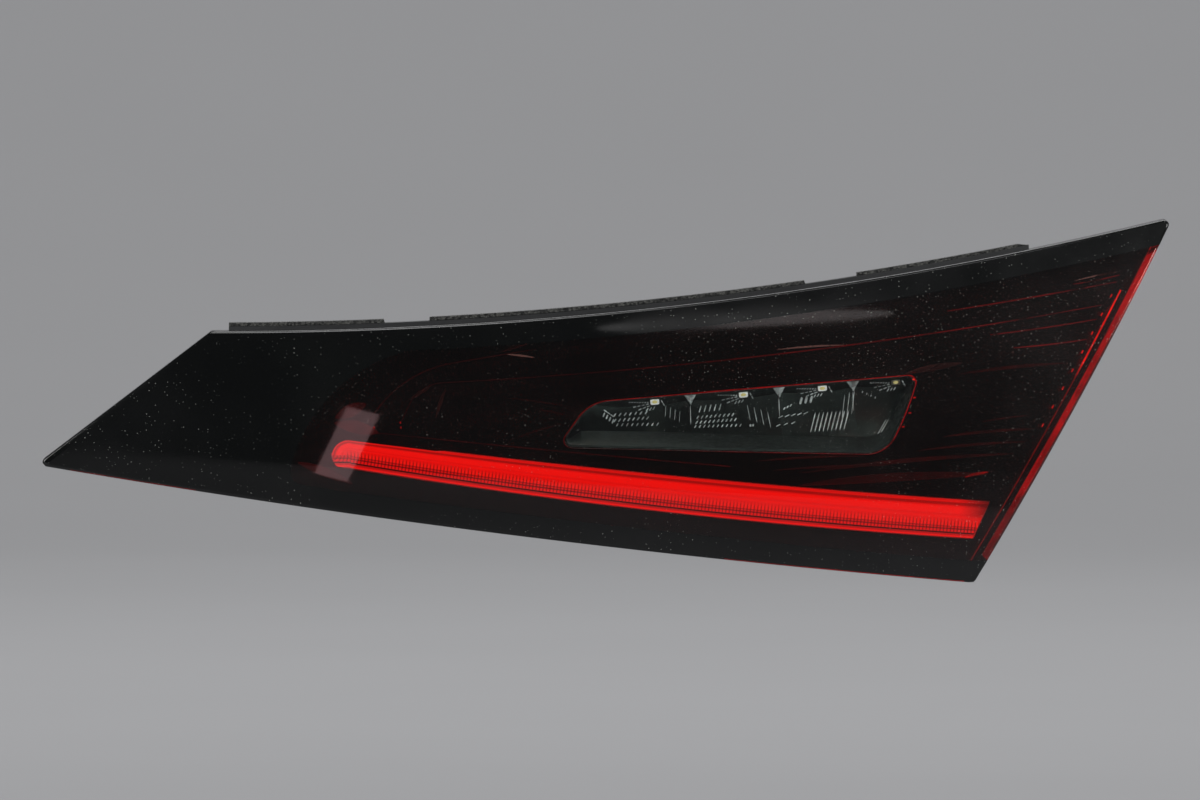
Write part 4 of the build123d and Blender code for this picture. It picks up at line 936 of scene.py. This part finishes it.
def capped(points):
    """Rings of points, with one more at each end that is drawn together to the middle of the last."""
    ends = points[[0, -1]].mean(1, keepdims=True).repeat(points.shape[1], 1)
    return np.concatenate([ends[:1], points, ends[1:]])


def ribbon(line, width, low, high):
    """A square bar carried along a front-view line: four corners at half the width to each side and two
    depths, drawn together to a point at both ends."""
    across = rightward(np.gradient(line, axis=0)) * np.reshape(width, (-1, 1)) / 2
    flat = np.stack([line - across, line - across, line + across, line + across], 1)
    return gridded(capped(behind_face(flat, np.array([low, high, high, low]))))


rail_line = between(lens_edges(rail_inset)[2], 1, *rail_heights)[::6]
rail = ribbon(rail_line, np.interp(rail_line[:, 1], rail_swell, rail_widths), terrace_back, rail_depth)
rail_red = glowing("red_rail_painted_glow", "#ff2014", 3.2, 0.16, (0, 0, 1), (0.006, 0.016), 9.0)
make_piece("side_rail", rail, [rail_red])
nub_line = lens_edges(nub_inset)[2]
nub_places = nub_line[(nub_shares * (len(nub_line) - 1)).astype(int)]
nub_run = (nub_line[-1] - nub_line[0]) / hypot(*(nub_line[-1] - nub_line[0]))
tick = np.linspace(-nub_half, nub_half, 5)[:, None]
nub_rows = [(nub_places, tick * nub_run, nub_width, nub_depth)]
nub_rows += [(pocket_nubs, pocket_nub_share * tick * pocket_along, nub_width, bezel_depth)]
nub_rows += [(spark_places, spark_share * tick * pocket_up, spark_width, bezel_depth)]
nubs = []
for places, run, width, depth in nub_rows:
    nubs += [ribbon(place + run, width, terrace_back, depth) for place in places]
tick_line = bowed(*end_tick, 9)
tick_widths = end_tick_width * np.sin(np.linspace(0.2, pi - 0.2, len(tick_line)))
nubs.append(ribbon(tick_line, tick_widths, terrace_back, end_tick_depth))
nub_red = glowing("red_tick_painted_glow", "#ff2014", 2.5, 0.35, (0, 0, 1), (-0.03, 0.02), 3.0)
make_piece("side_nubs", joined(nubs), [nub_red])


# Ribs along the terraces: fine lines with a painted red glow for the light of the bar they catch,
# spindle-shaped ribs with a painted red sheen beside the bar and round its nose, and a few of dull or bright
# metal, the bright ones with a painted highlight. Moulded on the bezel's face.
sweep_ends = (
    ((119.7, 33.9), (186.0, 44.9)),
    ((168.9, 44.1), (187.2, 47.6)),
    ((136.5, 24.6), (178.2, 30.4)),
    ((145.5, 19.5), (174.3, 22.6)),
    ((-103.4, -12.9), (35.1, -26.1)),
)
sheen_ends = (
    ((58.0, -29.4), (150.0, -21.6), 1.7),
    ((58.0, -34.0), (139.0, -29.6), 3.4),
    ((122.0, 9.0), (168.0, 13.5), 1.4),
    ((132.2, -9.4), (152.0, -6.8), 0.8),
    ((116.0, -15.2), (155.5, -12.0), 1.2),
    ((106.0, -20.6), (152.5, -17.0), 1.1),
    ((42.0, -24.4), (90.0, -22.4), 0.9),
    ((49.0, -28.0), (99.0, -26.0), 0.9),
    ((-54.3, 0.8), (-27.8, -2.9), 0.7),
    ((-39.8, -3.9), (-28.0, -6.3), 0.7),
    ((-49.1, -15.3), (-29.6, -9.3), 0.8),
)
nose_ends = (
    ((-119.0, -7.5), (-106.0, -1.6), 5.0),
    ((-134.0, -24.2), (-111.0, -33.2), 3.6),
    ((-119.5, -9.0), (-101.0, -13.2), 5.0),
)
dull_ends = (
    ((103.0, 9.6), (126.0, 13.8), 2.6),
    ((-90.0, -0.4), (-80.6, 5.6), 1.5),
    ((-79.5, -7.5), (-75.5, 4.6), 1.5),
    ((-56.0, 18.0), (-40.0, 23.2), 1.9),
)
flash_ends = (
    ((51.9, 19.0), (80.7, 20.9), 0.7),
    ((-52.5, 17.6), (-40.6, 16.2), 0.8),
    ((168.9, 45.2), (187.2, 48.9), 0.6),
)
sweep_width = 0.5
sweep_sag = -0.3
sweep_rise = 0.2
sweep_foot = -9.0
sweep_end_x = -40.0
sheen_rise = 0.25
nose_rise = 0.3
flash_share = 0.4
spindle_root = 0.05


def spindle(start, end, width, rise):
    """A half-round rib between two places on the bezel's face, drawn to a point at both ends."""
    share, turn = np.linspace(0, 1, 41), np.linspace(0, pi, 9)
    run = np.subtract(end, start)
    across = np.array([run[1], -run[0]]) / hypot(*run)
    swell = np.sin(pi * share)[:, None] ** 0.8
    line = bowed(start, end, 0.015 * hypot(*run), len(share))
    flat = line[:, None] + (swell * np.cos(turn) * width / 2)[..., None] * across
    depth = bezel_front(flat[..., 0], flat[..., 1]) + spindle_root - rise * swell * np.sin(turn)
    return gridded(behind_face(flat, depth))


sweeps = [between(resampled(line[4:-1], 160), 1, sweep_foot) for line in terrace_edges[:2]]
sweeps[0] = between(sweeps[0], 0, -np.inf, sweep_end_x)
sweeps += [bowed(*ends, sweep_sag, 40) for ends in sweep_ends]
for k, line in enumerate(sweeps):
    widths = sweep_width * np.sin(np.linspace(0.15, pi - 0.15, len(line))) ** 0.4
    sweeps[k] = ribbon(line, widths, terrace_back, bezel_front(*line.T).min() - sweep_rise)
sheen_ribs = [spindle(*ends, sheen_rise) for ends in sheen_ends]
nose_ribs = [spindle(*ends, nose_rise) for ends in nose_ends]
dull_ribs = [spindle(*ends, flash_share * ends[2]) for ends in dull_ends]
flash_ribs = [spindle(*ends, flash_share * ends[2]) for ends in flash_ends]
# Painted red glows for the bar's light on the terrace lines, the sheen ribs and the nose ribs.
sweep_red = glowing("red_sweep_painted_glow", "#e0202a", 0.5, 0.14, (1, 0, 0), (-0.02, 0.13), 14.0)
sheen_red = glowing("red_sheen", "#b03a34", 0.135, 0.4, (1, 0, 0), (0.06, 0.12), 9.0)
nose_red = glowing("red_nose_painted_glow", "#c0202a", 0.25, 0.7, (1, 0, 0), (-0.1, 0.1), 6.0)
# Painted highlight: the bright flash metal glows pale so that its glints show through the red lens.
flash_painted_highlight = {"Emission Color": linear("#e6ede6"), "Emission Strength": 0.3}
flash_metal = metal("flash_metallising", "#c9cccc", "#9b9fa0", 0.3, 1.0, more=flash_painted_highlight)
dull_metal = metal("dull_flash_metallising", "#8f9292", "#6b6f70", 0.4, 1.0)
rib_sets = {"terrace_lines": (sweeps, sweep_red), "red_sheen_ribs": (sheen_ribs, sheen_red)}
rib_sets |= {"red_nose_ribs": (nose_ribs, nose_red), "dull_flash_ribs": (dull_ribs, dull_metal)}
rib_sets |= {"bright_flash_ribs": (flash_ribs, flash_metal)}
for name, (ribs, finish) in rib_sets.items():
    make_piece(name, joined(ribs), [finish])


# Butyl bead: the sticky black strand that the foot of the lens wall is pressed into.
butyl = moulded("butyl_sealant", "#0d0d0e", "#19191a", 0.55, 1.5, 0.1)
dress(butyl, "butyl", "lens_seal")


# Outer lens, black shot: the wide wing on the inner side and the border round the window, with the wall
# that stands on the housing. Gloss black acrylic, moulded first in the three-colour tool; the face is
# untextured.
lens_wall = 2.6
lens_skirt = 13.0
lens_roll = 0.8
lens_radius = 1.8
border_top = (0, 9.2)
border_bottom = (0, 8.5)
border_full = 3.2
window_tip = (-136.0, -27.0)
window_shoulder = (-75.0, 21.0)
window_end_sag = 13.5
window_trim = 4.5
lens_left, lens_top, lens_side, lens_bottom = rounded_sides(lens_edges(0), (lens_radius,) * 4)


def window_sides():
    """The edge of the window from the foot of the outer side along the bottom, up the bowed inner end and
    along the top to the outer side."""
    low = bowed(lens_corners[3] + border_bottom, lens_corners[0] + border_bottom, lens_sags[3], 900)
    high = bowed(lens_corners[1] - border_top, lens_corners[2] - border_top, lens_sags[1], 900)
    end = bowed(window_tip, window_shoulder, window_end_sag, 900)
    low = low[low[:, 0] >= window_tip[0]]
    corner = np.array([window_tip[0], low[-1, 1]])
    low = np.concatenate([low, [corner]])
    bottom = resampled(low, len(low), 0, window_trim)
    bend = corner_arc(bottom[-1], corner, corner + (0, window_trim), np.linspace(0, 1, 12))
    below = end[:, 1] < np.interp(end[:, 0], *high.T)
    inner_end = np.concatenate([bend, [window_tip], end[below][1:]])
    side_x, top_x = np.interp(high[:, 1], *lens_side[::-1, ::-1].T), high[:, 0]
    top = high[(top_x > inner_end[-1, 0]) & (top_x < side_x)]
    foot_z, top_z = bottom[0, 1], top[-1, 1]
    foot_x, top_x = np.interp([foot_z, top_z], *lens_side[::-1, ::-1].T)
    foot, top_side = np.array([(foot_x, foot_z), bottom[0]]), np.concatenate([top, [(top_x, top_z)]])
    return foot, bottom, np.concatenate([bottom[-1:], inner_end, top[:1]]), top_side


window_foot, window_bottom, window_end, window_top = window_sides()
top_corner = window_top[-1:]
above, below = lens_side[:, 1] > top_corner[0, 1], lens_side[:, 1] < window_foot[0, 1]
side_upper = np.concatenate([lens_side[above], top_corner])
side_lower = np.concatenate([window_foot[:1], lens_side[below]])
side_middle = np.concatenate([top_corner, lens_side[~above & ~below], window_foot[:1]])
corner_run = top_corner + [[0, 0], [1e-6, 0], [2e-6, 0]]
counts = (10, 200, 80, 220, 12)
frame_outer = matched((side_lower, lens_bottom, lens_left, lens_top, side_upper), counts)
frame_inner = matched((window_foot, window_bottom, window_end, window_top, corner_run), counts)
frame_outer, frame_inner = (np.concatenate([line, top_corner]) for line in (frame_outer, frame_inner))
room = np.clip(np.hypot(*(frame_outer - frame_inner).T) / border_full, 0, 1)
steps = np.linspace(0, 1, 40)


def flush(x, z):
    """The face of the lens itself, at no depth."""
    return np.zeros(x.shape)


def handled(tree, colour, dust, dulls, smears):
    """Sockets of acrylic with the marks of a used lamp: dust specks up to 0.3 mm wide, 1.2 mm apart and
    gathered in drifts; a film of wiping haze that dulls the gloss in patches; hand smears, heavier towards
    the outer end, that are a dull coat. The value that is one on a speck comes with them."""
    place = node(tree, "TexCoord").outputs["Object"]
    specks = node(tree, "TexVoronoi", {"Vector": place, "Scale": 1000 / 1.2})
    chance = node(tree, "SeparateXYZ", [specks.outputs["Color"]])
    size = node(tree, "Math", (chance, 0.128), operation="MULTIPLY")
    near = node(tree, "Math", (specks, size), operation="LESS_THAN")
    film = node(tree, "TexNoise", {"Vector": place, "Scale": 1000 / 60, "Detail": 6.0})
    drift = node(tree, "MapRange", (film, 0.36, 0.56))
    speck = node(tree, "Math", (near, drift), operation="MULTIPLY")
    patch = node(tree, "MapRange", (film, 0.38, 0.64))
    outer = node(tree, "MapRange", (node(tree, "SeparateXYZ", [place]), 0.04, 0.2, 0.2 * smears, smears))
    hand = node(tree, "Math", (patch, outer), operation="MULTIPLY")
    tone = node(tree, "Mix", {0: speck, 6: linear(colour), 7: linear(dust)}, data_type="RGBA")
    sockets = {"Base Color": tone.outputs[2], "Roughness": node(tree, "MapRange", (film, 0.4, 0.7, *dulls))}
    return sockets | {"IOR": 1.49, "Coat Weight": hand, "Coat Roughness": 0.4}, speck


# Gloss black acrylic: deep black with a wet shine, greyed by dust and dulled in patches by wiping.
black_lens, tree = new_finish("gloss_black_acrylic")
sockets, speck = handled(tree, "#050606", "#aeb0aa", (0.03, 0.12), 0.6)
coated(black_lens, sockets)
edge_sizes = (lens_roll * room, lens_wall * room, lens_skirt)
frame_sheet = panel(frame_outer, frame_inner, flush, lens_wall, *edge_sizes, steps, steps[::3], False)
make_piece("black_frame", frame_sheet, [black_lens], ["lens_black_frame"])


# Outer lens, red shot: the smoked red window with the wall at the outer end, moulded round the clear pane.
# Its cut edges, at the pane and down the outer wall, have a painted red glow for the light they catch.
edge_bands = (2.0, 2.0, 2.0, 2.0, 0.6)
rim_band = 0.4
wall_line_inset = 0.75
wall_line_heights = (-60.0, 58.0)
wall_line_width = 0.3
wall_line_depths = (4.0, 1.2)
foot_line_inset = 0.32
foot_line_runs = ((-226, -172), (30, 127))
foot_line_width = 0.26
foot_line_depths = (1.2, 0.1)


def clear_acrylic(name, tint, shade, roughness, smears):
    """See-through acrylic with the marks of a used lamp; its dust lets a fifth of the light through. Light
    passes tinted, and lamps reach what is inside, because a shadow ray meets a plain tinted film."""
    finish, tree = new_finish(name)
    sockets, speck = handled(tree, tint, "#aaaaa3", (roughness, roughness * 2.5), smears)
    clear = node(tree, "Math", (speck, -0.8, 1.0), operation="MULTIPLY_ADD")
    body = node(tree, "BsdfPrincipled", sockets | {"Transmission Weight": clear})
    veil = node(tree, "BsdfTransparent", [linear(shade)])
    shadow = node(tree, "LightPath").outputs["Is Shadow Ray"]
    node(tree, "OutputMaterial", [node(tree, "MixShader", (shadow, body, veil))])
    return finish


# Smoked red acrylic: nearly black against a dark ground, deep red in front of anything that shines.
red_lens = clear_acrylic("smoked_red_acrylic", "#8f6560", "#8f5c55", 0.02, 0.3)
# Painted red glows, no lamps: the outer wall, the rim at the pane, a line down the wall and lines along the
# foot.
edge_red = glowing("painted_glow_red_edge", "#e0141a", 0.95, 0.25, (0, 0, 1), (-0.062, -0.02), 14.0)
rim_red = glowing("painted_glow_red_rim", "#e0161c", 0.52, 0.25, (0.12, 0, 1), (-0.02, 0.006), 6.0)
line_red = glowing("painted_glow_red_line", "#ff2a1c", 1.0, 0.05, (0, 0, 1), (0.026, 0.036), 12.0)
foot_red = glowing("painted_glow_red_foot", "#d0181c", 0.5, 0.5, (1, 0, 0), (0.03, 0.08), 4.0)
counts = (8, 190, 70, 220, 150)
pocket_left, pocket_top, pocket_right, pocket_bottom = pocket_sides(0.0)
pocket_bottom = resampled(pocket_bottom, 200)
red_outer = matched((window_foot, window_bottom, window_end, window_top, side_middle), counts)
red_inner = matched((pocket_bottom[:9], pocket_bottom[8:], pocket_left, pocket_top, pocket_right), counts)
on_side = np.repeat(np.arange(5) == 4, np.subtract(counts, 1))
width = np.hypot(*(red_outer - red_inner).T)
inner_share, outer_share = rim_band / width, 1 - np.repeat(edge_bands, np.subtract(counts, 1)) / width


def banded(count):
    """Shares across the window: both edges, and between them even steps from one edge's band to the
    other's."""
    fill = inner_share + (outer_share - inner_share) * np.linspace(0, 1, count)[:, None]
    return np.concatenate([np.zeros((1, len(width))), fill, np.ones((1, len(width)))])


steps, back_steps = banded(30), banded(9)
edge_sizes = (lens_roll * on_side, lens_wall * on_side, np.where(on_side, lens_skirt, lens_wall))
red_sheet = panel(red_outer, red_inner, flush, lens_wall, *edge_sizes, steps, back_steps, True)
red_parts = np.zeros((len(red_sheet[1]) // len(width), len(width)), int)
red_parts[len(steps) + 3 : len(steps) + 6, on_side] = 1
red_parts[-2:] = 2
finishes = [red_lens, edge_red, rim_red]
make_piece("red_window", red_sheet, finishes, ["lens_red"], red_parts)
wall_line = between(lens_edges(wall_line_inset)[2], 1, *wall_line_heights)[::6]
wall_sheet = ribbon(wall_line, wall_line_width, *wall_line_depths)
make_piece("lit_wall_line", wall_sheet, [line_red])
foot_lines = [between(lens_edges(foot_line_inset)[3], 0, *run)[::6] for run in foot_line_runs]
foot_sheets = [ribbon(line, foot_line_width, *foot_line_depths) for line in foot_lines]
make_piece("lit_foot_line", joined(foot_sheets), [foot_red])


# Outer lens, clear shot: the pane in front of the reversing lamp, moulded in clear acrylic.
pane_gap = 0.05


def pane_sheet():
    """Columns across the pocket from its foot to its top, on the face of the lens and again on its back."""
    along, foot, top = pocket_chains(pane_gap, 160)
    flat = on_pocket(along[:, None], graded(foot, top, np.linspace(0, 1, 28)))
    return gridded(np.concatenate([behind_face(flat, 0.0), behind_face(flat[:, ::-1], lens_wall)], 1))


# Clear acrylic: as good as colourless, with a grey-green tinge where it is seen edge on.
clear_lens = clear_acrylic("clear_acrylic", "#e9efec", "#dfe6e3", 0.015, 0.0)
make_piece("clear_pane", pane_sheet(), [clear_lens], ["lens_reverse_window"])


# Foam strips along the top rail of the housing: three lengths of skived foam tape that seal the gap to the
# tailgate, their cut faces left open-celled.
strip_rises = (1.5, 3.0)
strip_depths = (14.6, 23.0)
strip_sides = 44
strip_step = 0.5
strip_runs = {"inner": (-160.3, -99.5, 0.8), "middle": (-82.0, 64.5, 0.8), "outer": (84.5, 152.0, 9.0)}
skived_share = 0.05


def strip_sheet(x_from, x_to, ramp, seed):
    """A rounded rectangle carried along the top edge of the lens, with each point moved by a little
    smoothed random height for the skived cells; the outer end falls off over the ramp, and both ends are
    closed."""
    x = np.linspace(x_from, x_to, int((x_to - x_from) / strip_step))
    square = rounded_square(strip_sides, 0.22)
    rough = np.random.default_rng(seed).normal(0, 1, (len(x), strip_sides))
    rough = (rough + np.roll(rough, 1, 0) + np.roll(rough, 1, 1) + np.roll(rough, (1, 1), (0, 1))) / 2
    size = 1 - skived_share * np.abs(rough)
    rise = np.mean(strip_rises) + square[:, 0] * size * (strip_rises[1] - strip_rises[0]) / 2
    depth = np.mean(strip_depths) + square[:, 1] * size * (strip_depths[1] - strip_depths[0]) / 2
    base, crest = (np.interp(x, *lens_edges(inset)[1].T)[:, None] for inset in (0, -strip_rises[1]))
    z = base + (crest - base) * np.minimum(rise / strip_rises[1], ((x_to - x) / ramp + 0.5)[:, None])
    flat = np.stack(np.broadcast_arrays(x[:, None], z), -1)
    return gridded(capped(behind_face(flat, depth)))


# Skived foam tape: black with a paler speck in many of the cut cells.
strip_foam = foamed("skived_foam_tape", "#111212", "#4a4a47", 0.9, 0.5)
for seed, (place, run) in enumerate(strip_runs.items()):
    strip = "top_seal_" + place
    make_piece("foam_" + strip, strip_sheet(*run, seed), [strip_foam], [strip], crease=60)


# Studio: a pale seamless sweep well below the lamp, eight soft boxes and a camera square to the lens.
# Lengths are in metres here.
floor_level = -0.32
floor_stops = (-9.0, -4.0, 0.0, 3.0, 5.8)
sweep_radius = 4.0
sweep_half = 10.0
camera_reach = 6.0
camera_rise = radians(2)
camera_aim = Vector((-0.0156, -0.07, 0.0))
view_width = 0.4664
sensor_mm = 36


def sweep_sheet():
    """A floor that turns up through a quarter circle into a wall behind the lamp."""
    bend = np.linspace(0, pi / 2, 24)[1:]
    y = np.concatenate([floor_stops, floor_stops[-1] + sweep_radius * np.sin(bend)])
    z = floor_level + np.concatenate([np.zeros(len(floor_stops)), sweep_radius * (1 - np.cos(bend))])
    x = np.linspace(-sweep_half, sweep_half, 9)[:, None]
    return gridded(np.stack(np.broadcast_arrays(x, y, z), -1), close_columns=False)


def sweep_paint():
    """Matt wall paint: one pale grey with the slightest mottle."""
    finish, tree = new_finish("matt_grey_paint")
    place = node(tree, "TexCoord").outputs["Object"]
    mottle = node(tree, "TexNoise", {"Vector": place, "Scale": 2.0, "Detail": 3.0})
    tone = node(tree, "Mix", {0: mottle, 6: linear("#9c9c9e"), 7: linear("#a0a0a2")}, data_type="RGBA")
    return coated(finish, {"Base Color": tone.outputs[2], "Roughness": 0.9})


sweep_points, sweep_faces = sweep_sheet()
sweep_mesh = bpy.data.meshes.new("studio_sweep")
sweep_mesh.from_pydata(sweep_points.tolist(), [], sweep_faces[:, ::-1].tolist())
sweep_mesh.polygons.foreach_set("use_smooth", np.ones(len(sweep_faces), dtype=bool))
sweep_mesh.materials.append(sweep_paint())
sweep = bpy.data.objects.new("studio_sweep", sweep_mesh)
bpy.context.scene.collection.objects.link(sweep)


def soft_box(name, place, aim, size, power, roll=0.0, shape="RECTANGLE", colour=(1, 1, 1)):
    """A flat lamp at one place, facing another and rolled about that line, in metres and watts."""
    lamp = bpy.data.lights.new(name, "AREA")
    lamp.shape = shape
    lamp.size, lamp.size_y = size
    lamp.energy = power
    lamp.color = colour
    holder = bpy.data.objects.new(name, lamp)
    holder.location = place
    turn = (Vector(aim) - Vector(place)).to_track_quat("-Z", "Y") @ Quaternion((0, 0, 1), radians(roll))
    holder.rotation_euler = turn.to_euler()
    bpy.context.scene.collection.objects.link(holder)


soft_box("key_box", (-0.8, -1.4, 2.5), (0, 0, 0), (1.6, 0.9), 32)
soft_box("left_box", (-2.1, -1.5, 0.55), (0, 0, 0), (0.8, 1.0), 26)
soft_box("right_box", (2.1, -1.5, 0.6), (0, 0, 0), (0.8, 1.0), 26)
soft_box("front_box", (0, -5.8, 4.7), (0, -7.5, -0.3), (5.0, 2.4), 200)
soft_box("back_box", (0.4, 1.8, 2.2), (0, 0, 0), (2.0, 1.0), 30)
soft_box("backdrop_box", (0, 2.6, 4.0), (0, 9.0, 1.6), (4.0, 1.5), 330)
glint_aim, glint_colour = (-0.115, -0.072, -0.019), (1, 0.68, 0.72)
soft_box("glint_box", (-0.364, -1.55, -0.01), glint_aim, (0.053, 0.195), 0.047, -18, colour=glint_colour)
soft_box("leaf_box", (0.29, -1.6, 0.405), (0.041, -0.068, 0.031), (0.5, 0.036), 0.045, 9.9, "ELLIPSE")
world = bpy.data.worlds.new("studio_room")
world.use_nodes = True
world.node_tree.nodes["Background"].inputs[0].default_value = (0.5, 0.52, 0.54, 1)
world.node_tree.nodes["Background"].inputs[1].default_value = 0.16
bpy.context.scene.world = world

camera_data = bpy.data.cameras.new("photo_camera")
camera_data.sensor_width = sensor_mm
camera_data.lens = sensor_mm * camera_reach / view_width
camera = bpy.data.objects.new("photo_camera", camera_data)
camera.location = camera_aim + camera_reach * Vector((0, -cos(camera_rise), sin(camera_rise)))
camera.rotation_euler = (camera_aim - camera.location).to_track_quat("-Z", "Y").to_euler()
bpy.context.scene.collection.objects.link(camera)
bpy.context.scene.camera = camera
bpy.context.scene.view_settings.view_transform = "Standard"
